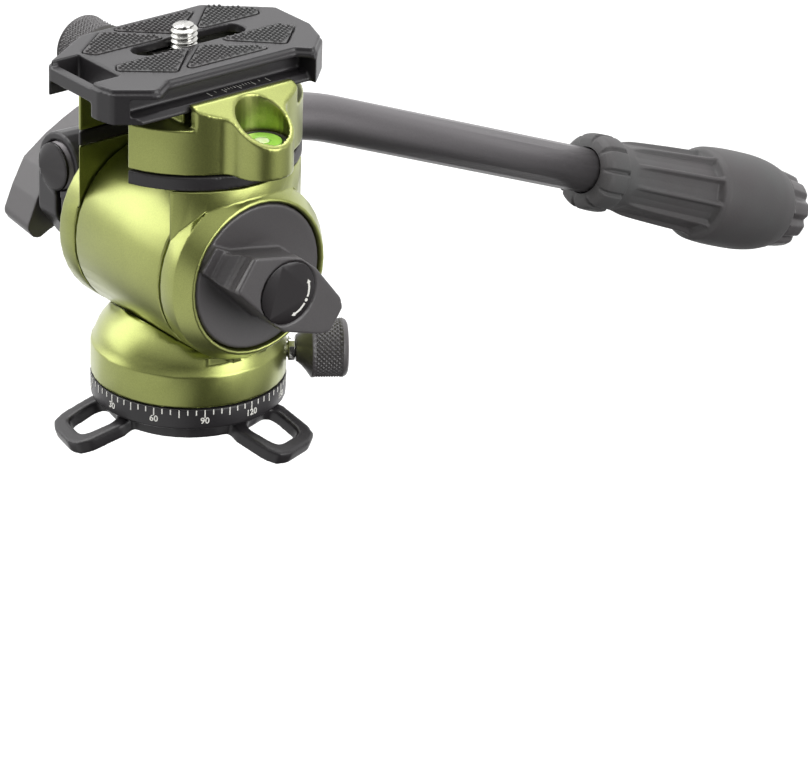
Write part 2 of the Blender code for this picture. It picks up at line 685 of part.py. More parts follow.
def barrel_screw_places():
    return [(x, y) for x in (-BARREL_SCREW_X, BARREL_SCREW_X) for y in (-BARREL_SCREW_Y, BARREL_SCREW_Y)]


def barrel_screw_cutter(name, x, y):
    head = BARREL_SCREW_HEAD_RADIUS + SEAT_GAP
    shank = BARREL_SCREW_RADIUS + SEAT_GAP
    low = BARREL_SCREW_TIP_HEIGHT - SEAT_GAP
    high = TILT_AXIS_HEIGHT
    profile = ((low, 0.0), (low, shank), (BARREL_SCREW_SEAT_HEIGHT, shank),
               (BARREL_SCREW_SEAT_HEIGHT, head), (high, head), (high, 0.0))
    return turned(name, profile, at_place(x, y), SMALL_ROUND)


def pan_housing(pan):
    wall = DIAL_RADIUS
    shoulder = [(HOUSING_SHOULDER + DOME_HEIGHT * rise, wall * share) for share, rise in DOME_SHARES]
    journal = JOURNAL_RADIUS + RUNNING_GAP
    profile = [(CEILING_BOTTOM, STUD_RADIUS + RUNNING_GAP), (CEILING_BOTTOM, journal),
               (HOUSING_BOTTOM, journal),
               (HOUSING_BOTTOM, wall - HOUSING_FOOT_BREAK), (HOUSING_BOTTOM + HOUSING_FOOT_BREAK, wall)]
    pocket = NUT_RADIUS + RUNNING_GAP
    profile += shoulder + [(HOUSING_TOP, pocket), (CEILING_TOP, pocket),
                           (CEILING_TOP, STUD_RADIUS + RUNNING_GAP)]
    housing = turned("pan_housing", profile, along_z, LARGE_ROUND, True, pan, ANODISED_GREEN)
    cut(housing, rod("housing_saddle_cutter", -DIAL_RADIUS - CUT_OVERRUN, DIAL_RADIUS + CUT_OVERRUN,
                     SADDLE_RADIUS, about_tilt_axis, LARGE_ROUND))
    groove_top = DIAL_TOP + SEAT_GAP + PAN_RING_HEIGHT + RUNNING_GAP
    cut(housing, washer("housing_groove_cutter", HOUSING_BOTTOM - CUT_OVERRUN, groove_top,
                        PAN_RING_INNER - RUNNING_GAP, PAN_RING_OUTER + RUNNING_GAP, along_z, LARGE_ROUND))
    cut(housing, rod("housing_lock_cutter", STUD_RADIUS, DIAL_RADIUS + CUT_OVERRUN,
                     PAN_LOCK_SCREW_RADIUS + SEAT_GAP, along_pan_lock))
    for number, (x, y) in enumerate(barrel_screw_places()):
        cut(housing, barrel_screw_cutter("housing_screw_cutter_%d" % number, x, y))
    return housing


def pan_lock_group(pan_lock, shoe_joint):
    shoe_start = JOURNAL_RADIUS + RUNNING_GAP
    shoe_end = shoe_start + PAN_SHOE_LENGTH
    rod("pan_brake_shoe", shoe_start, shoe_end, PAN_SHOE_RADIUS, along_pan_lock, SMALL_ROUND, shoe_joint,
        BEARING_BRONZE)
    screw_start = shoe_end + RUNNING_GAP
    collar_start = DIAL_RADIUS + RUNNING_GAP
    collar_end = collar_start + PAN_LOCK_COLLAR_LENGTH
    head_end = collar_end + PAN_LOCK_SOCKET_DEPTH
    screw = PAN_LOCK_SCREW_RADIUS
    profile = ((screw_start, 0.0), (screw_start, screw), (collar_start, screw),
               (collar_start, PAN_LOCK_COLLAR_RADIUS), (collar_end, PAN_LOCK_COLLAR_RADIUS),
               (collar_end, screw), (head_end, screw), (head_end, 0.0))
    turned("pan_lock_screw", profile, along_pan_lock, SMALL_ROUND, False, pan_lock, BRIGHT_STEEL)
    knob_start = collar_end + SEAT_GAP
    neck_end = knob_start + PAN_LOCK_NECK_LENGTH
    knob_end = neck_end + PAN_LOCK_HEAD_LENGTH
    bore = screw + SEAT_GAP
    radius = PAN_LOCK_HEAD_RADIUS
    chamfer = PAN_LOCK_CHAMFER
    profile = ((head_end + SEAT_GAP, 0.0), (head_end + SEAT_GAP, bore), (knob_start, bore),
               (knob_start, PAN_LOCK_NECK_RADIUS), (neck_end, PAN_LOCK_FLARE_RADIUS),
               (neck_end + chamfer, radius), (knob_end - chamfer, radius),
               (knob_end, radius - chamfer), (knob_end, 0.0))

    def knurl(index, height, reach):
        return reach - KNURL_DEPTH if reach == radius and index % 2 else reach
    turned("pan_lock_knob", profile, along_pan_lock, 2 * PAN_LOCK_RIDGES, False, pan_lock, MOULDED_BLACK,
           knurl)


def drag_barrel(pan):
    edge = EDGE_BREAK
    bore = BUSH_RADIUS + SEAT_GAP
    profile = ((CAVITY_LEFT, bore), (BARREL_LEFT, bore), (BARREL_LEFT, BARREL_RADIUS - edge),
               (BARREL_LEFT + edge, BARREL_RADIUS), (BARREL_RIGHT - edge, BARREL_RADIUS),
               (BARREL_RIGHT, BARREL_RADIUS - edge), (BARREL_RIGHT, BARREL_CAVITY_RADIUS),
               (CAVITY_LEFT, BARREL_CAVITY_RADIUS))
    barrel = turned("drag_barrel", profile, about_tilt_axis, LARGE_ROUND, True, pan, ANODISED_GREEN)
    for number, (x, y) in enumerate(barrel_screw_places()):
        cut(barrel, barrel_screw_cutter("barrel_screw_cutter_%d" % number, x, y))
    low = BARREL_SCREW_TIP_HEIGHT
    seat = BARREL_SCREW_SEAT_HEIGHT + SEAT_GAP
    top = seat + BARREL_SCREW_HEAD_HEIGHT
    several("barrel_screw", barrel_screw_places(),
            ((low, BARREL_SCREW_RADIUS), (seat, BARREL_SCREW_RADIUS), (seat, BARREL_SCREW_HEAD_RADIUS),
             (top, BARREL_SCREW_HEAD_RADIUS)), SMALL_ROUND, pan, BRIGHT_STEEL)
    washer("barrel_cover", COVER_LEFT, COVER_RIGHT, bore, BARREL_CAVITY_RADIUS - SEAT_GAP, about_tilt_axis,
           MEDIUM_ROUND, pan, ANODISED_BLACK)
    shaft_bore = SHAFT_RADIUS + RUNNING_GAP
    washer("left_bush", BARREL_LEFT, CAVITY_LEFT, shaft_bore, BUSH_RADIUS, about_tilt_axis, MEDIUM_ROUND,
           pan, BEARING_BRONZE)
    washer("right_bush", COVER_LEFT, COVER_RIGHT, shaft_bore, BUSH_RADIUS, about_tilt_axis, MEDIUM_ROUND,
           pan, BEARING_BRONZE)


def drag_stack(pan, tilt):
    """Fixed discs grip the barrel, turning discs ride on the shaft, grease fills the gaps between them."""
    reach = BARREL_CAVITY_RADIUS - SEAT_GAP
    start = CAVITY_LEFT + SEAT_GAP
    for number in range(FIXED_DISC_COUNT):
        end = start + FIXED_DISC_THICKNESS
        washer("fixed_drag_disc_%d" % (number + 1), start, end, FIXED_DISC_BORE, reach, about_tilt_axis,
               MEDIUM_ROUND, pan, DRAG_POLYMER)
        start = end + RUNNING_GAP
        if number < FIXED_DISC_COUNT - 1:
            end = start + TURNING_DISC_THICKNESS
            washer("turning_drag_disc_%d" % (number + 1), start, end, SHAFT_RADIUS + SEAT_GAP,
                   TURNING_DISC_RADIUS, about_tilt_axis, MEDIUM_ROUND, tilt, BRIGHT_STEEL)
            start = end + RUNNING_GAP
    washer("drag_spring_washer", start, COVER_LEFT - RUNNING_GAP, FIXED_DISC_BORE, reach, about_tilt_axis,
           MEDIUM_ROUND, pan, BRIGHT_STEEL)


def tilt_shaft(tilt):
    left = LEFT_CHEEK_OUT + SEAT_GAP
    right = KNOB_RECESS_X - SEAT_GAP
    bolt = HANDLE_BOLT_RADIUS + RUNNING_GAP
    screw = TILT_SCREW_RADIUS + RUNNING_GAP
    profile = ((left + HANDLE_BOLT_DEPTH, 0.0), (left + HANDLE_BOLT_DEPTH, bolt), (left, bolt),
               (left, SHAFT_RADIUS), (right, SHAFT_RADIUS), (right, screw),
               (right - TILT_SCREW_DEPTH, screw), (right - TILT_SCREW_DEPTH, 0.0))
    return turned("tilt_shaft", profile, about_tilt_axis, MEDIUM_ROUND, False, tilt, BRIGHT_STEEL)


def dowel_places():
    return [(DOWEL_LEFT_X, -DOWEL_Y), (DOWEL_RIGHT_X, DOWEL_Y)]


def dowel_cutters(name, low, high, left=True, right=True):
    cutters = []
    for number, (x, y) in enumerate(dowel_places()):
        if (x < 0.0 and left) or (x > 0.0 and right):
            cutters.append(rod("%s_dowel_cutter_%d" % (name, number), low, high, DOWEL_RADIUS + SEAT_GAP,
                               at_place(x, y)))
    return cutters


def column(name, low, high, joint=None, look=None):
    """The round column that all frame pieces are turned from, about the pan axis."""
    return rod(name, low, high, COLUMN_RADIUS, along_z, LARGE_ROUND, joint, look)


def left_cheek(tilt):
    bore = SHAFT_RADIUS + SEAT_GAP
    cheek = washer("left_cheek", LEFT_CHEEK_OUT, LEFT_CHEEK_IN, bore, BARREL_RADIUS, about_tilt_axis,
                   LARGE_ROUND, tilt, ANODISED_GREEN, EDGE_BREAK)
    arm = column("left_arm", TILT_AXIS_HEIGHT + BUSH_RADIUS, FRAME_TOP_HEIGHT)
    reach = COLUMN_RADIUS + CUT_OVERRUN
    keep = block("left_arm_limit", (LEFT_CHEEK_OUT, -reach, 0.0),
                 (LEFT_CHEEK_IN, reach, FRAME_TOP_HEIGHT * 2))
    keep_common(arm, keep)
    unite(cheek, arm)
    low = FRAME_TOP_HEIGHT - DOWEL_REACH
    cut(cheek, *dowel_cutters("left_cheek", low - SEAT_GAP, FRAME_TOP_HEIGHT + CUT_OVERRUN, right=False))
    return cheek


def right_cheek(tilt):
    bore = SHAFT_RADIUS + SEAT_GAP
    cone_start = RIGHT_CHEEK_IN + RIGHT_CHEEK_WIDTH
    profile = ((RIGHT_CHEEK_IN, bore), (RIGHT_CHEEK_IN, BARREL_RADIUS - EDGE_BREAK),
               (RIGHT_CHEEK_IN + EDGE_BREAK, BARREL_RADIUS), (cone_start, BARREL_RADIUS),
               (RIGHT_CHEEK_OUT, RIGHT_CHEEK_CONE_RADIUS), (RIGHT_CHEEK_OUT, KNOB_RECESS_RADIUS),
               (KNOB_RECESS_X, KNOB_RECESS_RADIUS), (KNOB_RECESS_X, bore))
    cheek = turned("right_cheek", profile, about_tilt_axis, LARGE_ROUND, True, tilt, ANODISED_GREEN)
    upright = column("right_upright", TILT_AXIS_HEIGHT + BUSH_RADIUS, FRAME_TOP_HEIGHT)
    reach = COLUMN_RADIUS + CUT_OVERRUN
    keep = block("right_upright_limit", (RIGHT_CHEEK_IN, -reach, 0.0), (reach, reach, FRAME_TOP_HEIGHT * 2))
    keep_common(upright, keep)
    recess = rod("right_upright_recess", KNOB_RECESS_X, reach + CUT_OVERRUN, KNOB_RECESS_RADIUS,
                 about_tilt_axis, LARGE_ROUND)
    unite(cheek, upright)
    cut(cheek, recess)
    low = FRAME_TOP_HEIGHT - DOWEL_REACH
    cut(cheek, *dowel_cutters("right_cheek", low - SEAT_GAP, FRAME_TOP_HEIGHT + CUT_OVERRUN, left=False))
    return cheek


def channel_cutter(name, low, high):
    reach = COLUMN_RADIUS + CUT_OVERRUN
    return block(name, (CHANNEL_LEFT, -reach, low - CUT_OVERRUN),
                 (CHANNEL_RIGHT, CHANNEL_BACK, high + CUT_OVERRUN))


def spacer(tilt):
    ring = column("frame_spacer", SPACER_BOTTOM, SPACER_TOP, tilt, ANODISED_BLACK)
    cut(ring, channel_cutter("spacer_channel_cutter", SPACER_BOTTOM, SPACER_TOP))
    cut(ring, *dowel_cutters("spacer", SPACER_BOTTOM - CUT_OVERRUN, SPACER_TOP + CUT_OVERRUN))
    return ring


def frame_dowels(tilt):
    low = FRAME_TOP_HEIGHT - DOWEL_REACH
    high = CLAMP_BOTTOM + DOWEL_REACH
    return several("frame_dowel", dowel_places(), ((low, DOWEL_RADIUS), (high, DOWEL_RADIUS)), SMALL_ROUND,
                   tilt, BRIGHT_STEEL)


def clamp_outline():
    """The column seen from above, swelling into the round lobe that houses the level."""
    lobe = LEVEL_LOBE_RADIUS
    fillet = LEVEL_FILLET
    from_axis = COLUMN_RADIUS + fillet
    from_lobe = lobe + fillet
    fillet_x = (from_axis ** 2 - from_lobe ** 2 + LEVEL_X ** 2) / (2 * LEVEL_X)
    fillet_y = math.sqrt(from_axis ** 2 - fillet_x ** 2)
    column_angle = math.atan2(fillet_y, fillet_x)
    lobe_angle = math.atan2(fillet_y, fillet_x - LEVEL_X)
    steps = SMALL_ROUND // 2
    half = []
    for step in range(2 * steps):
        angle = lobe_angle * step / (2 * steps)
        half.append((LEVEL_X + lobe * math.cos(angle), lobe * math.sin(angle)))
    for step in range(steps):
        angle = math.pi + lobe_angle + (column_angle - lobe_angle) * step / steps
        half.append((fillet_x + fillet * math.cos(angle), fillet_y + fillet * math.sin(angle)))
    for step in range(LARGE_ROUND // 2):
        angle = column_angle + (math.pi - column_angle) * step / (LARGE_ROUND // 2)
        half.append((COLUMN_RADIUS * math.cos(angle), COLUMN_RADIUS * math.sin(angle)))
    mirrored = [(x, -y) for x, y in reversed(half[1:])]
    return half + [(-COLUMN_RADIUS, 0.0)] + mirrored


def clamp_body(tilt):
    """One piece: the shelf, the plate's seat, the fixed jaw and the level's lobe."""
    body = prism("clamp_body", [clamp_outline()], CLAMP_BOTTOM, JAW_TOP, along_z, tilt, ANODISED_GREEN)
    cut(body, channel_cutter("clamp_channel_cutter", CLAMP_BOTTOM, JAW_TOP))
    reach = LEVEL_X + LEVEL_LOBE_RADIUS + CUT_OVERRUN
    over = JAW_TOP + CUT_OVERRUN
    jaw_inner = PLATE_CENTRE_X + JAW_BITE - (JAW_TOP - FLARE_TOP)
    cut(body, block("clamp_top_cutter", (-reach, -reach, CLAMP_SEAT), (jaw_inner, reach, over)))
    cut(body, block("clamp_left_cutter", (-reach, -reach, CLAMP_SHELF), (CLAMP_SEAT_LEFT, reach, over)))
    cut(body, block("clamp_front_cutter", (-reach, -reach, CLAMP_SHELF), (reach, JAW_FRONT, over)))
    cut(body, block("clamp_back_cutter", (-reach, JAW_BACK, CLAMP_SHELF), (reach, reach, over)))
    cut(body, bite_cutter("fixed_jaw_bite"))
    cut(body, level_slope_cutter())
    floor = CLAMP_BOTTOM + LEVEL_FLOOR_THICKNESS
    cut(body, rod("level_bore_cutter", floor, JAW_TOP + CUT_OVERRUN, LEVEL_BORE_RADIUS,
                  at_place(LEVEL_X, LEVEL_Y), MEDIUM_ROUND))
    cut(body, *dowel_cutters("clamp", CLAMP_BOTTOM - CUT_OVERRUN, CLAMP_BOTTOM + DOWEL_REACH + SEAT_GAP))
    open_end = -COLUMN_RADIUS - CUT_OVERRUN
    cut(body, rod("clamp_screw_cutter", open_end, -COLUMN_RADIUS + CLAMP_SCREW_DEPTH + SEAT_GAP,
                  CLAMP_SCREW_RADIUS + RUNNING_GAP, lambda u, v, h: Vector((h, u, CLAMP_KNOB_HEIGHT + v))))
    pin_end = -COLUMN_RADIUS + GUIDE_PIN_DEPTH + SEAT_GAP
    for side in (-1, 1):
        cut(body, rod("guide_pin_cutter_%d" % (side + 1), open_end, pin_end, GUIDE_PIN_RADIUS + SEAT_GAP,
                      guide_place(side)))
    return body


def guide_place(side):
    def place(u, v, h):
        return Vector((h, side * GUIDE_PIN_Y + u, GUIDE_PIN_HEIGHT + v))
    return place


def bite_cutter(name):
    """Room for the plate's flared foot, cut along the fixed jaw."""
    deep = PLATE_CENTRE_X + JAW_BITE
    seat = CLAMP_SEAT_RIGHT
    profile = ((seat, CLAMP_SHELF), (deep, CLAMP_SHELF), (deep, FLARE_TOP), (seat, FLARE_TOP + deep - seat))
    return prism(name, [profile], 2 * JAW_FRONT, 2 * JAW_BACK, along_y)


def level_slope_cutter():
    """Takes the lobe's top down in a slope, away from the jaw."""
    slope = math.tan(LEVEL_TOP_SLOPE)
    above = JAW_TOP + CUT_OVERRUN
    start_x = LEVEL_X - (above - LEVEL_TOP_HEIGHT) / slope
    end_x = LEVEL_X + LEVEL_LOBE_RADIUS + CUT_OVERRUN
    end_z = LEVEL_TOP_HEIGHT - (end_x - LEVEL_X) * slope
    return prism("level_slope_cutter", [((start_x, above), (end_x, end_z), (end_x, above))],
                 2 * JAW_FRONT, 2 * JAW_BACK, along_y)


def level(tilt):
    floor = CLAMP_BOTTOM + LEVEL_FLOOR_THICKNESS + SEAT_GAP
    top = floor + VIAL_HEIGHT
    place = at_place(LEVEL_X, LEVEL_Y)
    outer = LEVEL_BORE_RADIUS - SEAT_GAP
    profile = ((floor, 0.0), (floor, outer), (top, outer), (top, outer - VIAL_WALL),
               (floor + VIAL_WALL, outer - VIAL_WALL), (floor + VIAL_WALL, 0.0))
    turned("level_cup", profile, place, MEDIUM_ROUND, False, tilt, ANODISED_BLACK)
    vial_low = floor + VIAL_WALL + SEAT_GAP
    vial_radius = outer - VIAL_WALL - SEAT_GAP
    bubble_low = top - VIAL_WALL - SEAT_GAP
    bubble = BUBBLE_RADIUS + SEAT_GAP
    profile = ((vial_low, 0.0), (vial_low, vial_radius), (top, vial_radius), (top, bubble),
               (bubble_low, bubble), (bubble_low, 0.0))
    turned("level_vial", profile, place, MEDIUM_ROUND, False, tilt, LEVEL_LIQUID)
    rod("level_bubble", bubble_low + SEAT_GAP, top, BUBBLE_RADIUS, place, SMALL_ROUND, tilt, LEVEL_GAS)


def clamp_group(tilt, clamp_jaw, clamp_knob):
    low = CLAMP_SHELF + SEAT_GAP
    bite = PLATE_CENTRE_X - JAW_BITE
    lip = bite + JAW_TOP - FLARE_TOP
    profile = ((MOVING_JAW_LEFT, MOVING_JAW_FOOT_HEIGHT), (MOVING_JAW_RIGHT, MOVING_JAW_FOOT_HEIGHT),
               (MOVING_JAW_RIGHT, low), (bite, low), (bite, FLARE_TOP), (lip, JAW_TOP),
               (MOVING_JAW_LEFT + JAW_OUTER_CORNER, JAW_TOP), (MOVING_JAW_LEFT, JAW_TOP - JAW_OUTER_CORNER))
    jaw = prism("clamp_jaw", [profile], -MOVING_JAW_HALF_WIDTH, MOVING_JAW_HALF_WIDTH, along_y, clamp_jaw,
                ANODISED_GREEN)
    out = MOVING_JAW_LEFT - CUT_OVERRUN
    back = MOVING_JAW_RIGHT + CUT_OVERRUN
    cut(jaw, rod("jaw_screw_cutter", -back, -out, CLAMP_SCREW_RADIUS + RUNNING_GAP, along_clamp_knob))
    pin_end = MOVING_JAW_RIGHT - MOVING_JAW_THICKNESS / 2
    for side in (-1, 1):
        cut(jaw, rod("jaw_pin_cutter_%d" % (side + 1), out, back, GUIDE_PIN_RADIUS + RUNNING_GAP,
                     guide_place(side)))
        rod("guide_pin_%s" % ("front" if side < 0 else "back"), pin_end, -COLUMN_RADIUS + GUIDE_PIN_DEPTH,
            GUIDE_PIN_RADIUS, guide_place(side), SMALL_ROUND, tilt, BRIGHT_STEEL)
    screw_tip = COLUMN_RADIUS - CLAMP_SCREW_DEPTH
    knob_start = -CLAMP_KNOB_RIGHT
    head_start = knob_start + CLAMP_KNOB_COLLAR_LENGTH
    head_end = head_start + CLAMP_KNOB_LENGTH
    screw_end = head_end - CLAMP_KNOB_LENGTH / 2
    rod("clamp_screw", screw_tip, screw_end, CLAMP_SCREW_RADIUS, along_clamp_knob, SMALL_ROUND, clamp_knob,
        BRIGHT_STEEL)
    bore = CLAMP_SCREW_RADIUS + SEAT_GAP
    radius = CLAMP_KNOB_RADIUS
    edge = EDGE_BREAK * 2
    profile = ((screw_end + SEAT_GAP, 0.0), (screw_end + SEAT_GAP, bore), (knob_start, bore),
               (knob_start, CLAMP_KNOB_COLLAR_RADIUS), (head_start, CLAMP_KNOB_COLLAR_RADIUS),
               (head_start, radius - edge), (head_start + edge, radius), (head_end - edge, radius),
               (head_end, radius - edge), (head_end, 0.0))

    def knurl(index, height, reach):
        return reach - KNURL_DEPTH if reach == radius and index % 2 else reach
    turned("clamp_knob", profile, along_clamp_knob, 2 * CLAMP_KNOB_RIDGES, False, clamp_knob, MOULDED_BLACK,
           knurl)


def plate_corner(x, y, cuts):
    """Corner points of the plate, each moved in from the sides that would meet at x, y."""
    return [(x - math.copysign(across, x), y - math.copysign(along, y)) for across, along in cuts]


def plate_outline(waist):
    """The plate seen from above, anticlockwise; waist points draw its right side in."""
    outline = (plate_corner(PLATE_RIGHT, PLATE_FRONT, PLATE_FRONT_RIGHT_CUT) + waist
               + plate_corner(PLATE_RIGHT, PLATE_BACK, PLATE_BACK_RIGHT_CUT)
               + plate_corner(PLATE_LEFT, PLATE_BACK, PLATE_BACK_LEFT_CUT)
               + list(reversed(plate_corner(PLATE_LEFT, PLATE_FRONT, PLATE_FRONT_LEFT_CUT))))
    return rounded(outline, PLATE_CORNER)


def groove_cutter(name, side):
    """The side groove that leaves the flared foot and its ledge, between the plate's full end lobes."""
    def x(half_width):
        return PLATE_CENTRE_X + side * half_width
    far = PLATE_RIGHT + CUT_OVERRUN
    under = PLATE_BOTTOM - CUT_OVERRUN
    ledge = FLARE_TOP + PLATE_LEDGE_RISE
    profile = ((x(PLATE_FLARE_HALF_WIDTH), under), (x(PLATE_FLARE_HALF_WIDTH), FLARE_TOP),
               (x(PLATE_FLARE_HALF_WIDTH - PLATE_LEDGE_RISE), ledge), (x(PLATE_NECK_HALF_WIDTH), ledge),
               (x(PLATE_NECK_HALF_WIDTH), PLATE_BAND_BOTTOM), (x(far), PLATE_BAND_BOTTOM), (x(far), under))
    return prism(name, [profile], PLATE_FRONT_LOBE_END, PLATE_BACK_LOBE_END, along_y)


def pad_outlines():
    length = PLATE_BACK
    width = PLATE_WAIST_X
    places = (("front", -1, PAD_FRONT_SHARES), ("middle", 1, PAD_MIDDLE_SHARES),
              ("back", 1, PAD_BACK_SHARES))
    for place_name, along, shares in places:
        for side_name, side in (("left", -1), ("right", 1)):
            outline = [(SLOT_CENTRE_X + side * width * u, along * length * v) for u, v in shares]
            if side * along < 0:
                outline.reverse()
            yield "rubber_pad_%s_%s" % (place_name, side_name), rounded(outline, PAD_CORNER, 2)


def quick_plate(plate):
    waisted = plate_outline([(PLATE_WAIST_X, PLATE_WAIST_FRONT), (PLATE_WAIST_X, PLATE_WAIST_BACK)])
    base = prism("quick_release_plate", [plate_outline([])], PLATE_BOTTOM, PLATE_BAND_BOTTOM, along_z,
                 plate, ANODISED_BLACK)
    unite(base, prism("plate_band", [waisted], PLATE_BAND_BOTTOM - EDGE_BREAK, PLATE_BAND_TOP, along_z))
    top = grown(waisted, -PLATE_TOP_INSET)
    unite(base, prism("plate_top", [top], PLATE_BAND_TOP - EDGE_BREAK, PLATE_TOP, along_z))
    for side in (-1, 1):
        cut(base, groove_cutter("plate_groove_%d" % (side + 1), side))
    under = PLATE_BOTTOM - CUT_OVERRUN
    over = PLATE_TOP + CUT_OVERRUN
    slot = slot_outline(SLOT_CENTRE_X, SLOT_FRONT, SLOT_BACK, SLOT_HALF_WIDTH)
    cut(base, prism("plate_slot_cutter", [slot], under, over, along_z))
    cut(base, block("plate_channel_cutter",
                    (SLOT_CENTRE_X - CARRIAGE_CHANNEL_HALF_WIDTH, CARRIAGE_CHANNEL_FRONT, under),
                    (SLOT_CENTRE_X + CARRIAGE_CHANNEL_HALF_WIDTH, CARRIAGE_CHANNEL_BACK,
                     PLATE_BOTTOM + CARRIAGE_CHANNEL_DEPTH)))
    bar_top = PLATE_TOP - STRAP_BAR_DROP
    bar_bottom = bar_top - STRAP_BAR_THICKNESS
    ahead = PLATE_FRONT - CUT_OVERRUN
    cut(base, block("plate_window_cutter", (WINDOW_LEFT, WINDOW_FRONT, under),
                    (WINDOW_RIGHT, WINDOW_BACK, over)))
    cut(base, block("plate_bar_top_cutter", (WINDOW_LEFT, ahead, bar_top),
                    (WINDOW_RIGHT, WINDOW_FRONT + SEAT_GAP, over)))
    cut(base, block("plate_bar_foot_cutter", (WINDOW_LEFT, ahead, under),
                    (WINDOW_RIGHT, WINDOW_FRONT + SEAT_GAP, bar_bottom)))
    floor = PLATE_TOP - PAD_DEPTH - SEAT_GAP
    for name, outline in pad_outlines():
        cut(base, prism(name + "_recess", [grown(outline, SEAT_GAP)], floor, over, along_z))
        prism(name, [outline], floor + SEAT_GAP, PLATE_TOP + PAD_STAND, along_z, plate, RUBBER_BLACK)
    return base


def camera_screw(carriage, screw):
    ceiling = PLATE_BOTTOM + CARRIAGE_CHANNEL_DEPTH
    slider_top = ceiling - RUNNING_GAP
    slider_bottom = slider_top - CARRIAGE_THICKNESS
    outline = rounded(((SLOT_CENTRE_X - CARRIAGE_HALF_WIDTH, CAMERA_SCREW_Y - CARRIAGE_HALF_LENGTH),
                       (SLOT_CENTRE_X + CARRIAGE_HALF_WIDTH, CAMERA_SCREW_Y - CARRIAGE_HALF_LENGTH),
                       (SLOT_CENTRE_X + CARRIAGE_HALF_WIDTH, CAMERA_SCREW_Y + CARRIAGE_HALF_LENGTH),
                       (SLOT_CENTRE_X - CARRIAGE_HALF_WIDTH, CAMERA_SCREW_Y + CARRIAGE_HALF_LENGTH)),
                      PLATE_CORNER)
    hole = circle(SLOT_CENTRE_X, CAMERA_SCREW_Y, CAMERA_SCREW_RADIUS + RUNNING_GAP)
    prism("screw_carriage", [outline, hole], slider_bottom, slider_top, along_z, carriage, BRIGHT_STEEL)
    head_top = slider_bottom - RUNNING_GAP
    head_bottom = head_top - CAMERA_SCREW_HEAD_HEIGHT
    tip = PLATE_TOP + CAMERA_SCREW_STAND
    radius = CAMERA_SCREW_RADIUS
    key = CAMERA_SCREW_KEY_RADIUS
    chamfer = CAMERA_SCREW_TIP_CHAMFER
    profile = ((head_bottom + CAMERA_SCREW_KEY_DEPTH, 0.0), (head_bottom + CAMERA_SCREW_KEY_DEPTH, key),
               (head_bottom, key), (head_bottom, CAMERA_SCREW_HEAD_RADIUS),
               (head_top, CAMERA_SCREW_HEAD_RADIUS),
               (head_top, radius), (tip - chamfer, radius), (tip, radius - chamfer), (tip, 0.0))
    turned("camera_screw", profile, at_place(SLOT_CENTRE_X, CAMERA_SCREW_Y), MEDIUM_ROUND, False, screw,
           BRIGHT_STEEL)


def on_bar(angle, points):
    return [(u * math.cos(angle) - v * math.sin(angle), u * math.sin(angle) + v * math.cos(angle))
            for u, v in points]


def tilt_bar_place(u, v, h):
    """Local u along the bar, v out of the tilt axis towards +X, h across the bar."""
    across = TILT_BAR_ANGLE + math.pi / 2
    return Vector((v, u * math.cos(TILT_BAR_ANGLE) + h * math.cos(across),
                   TILT_AXIS_HEIGHT + u * math.sin(TILT_BAR_ANGLE) + h * math.sin(across)))


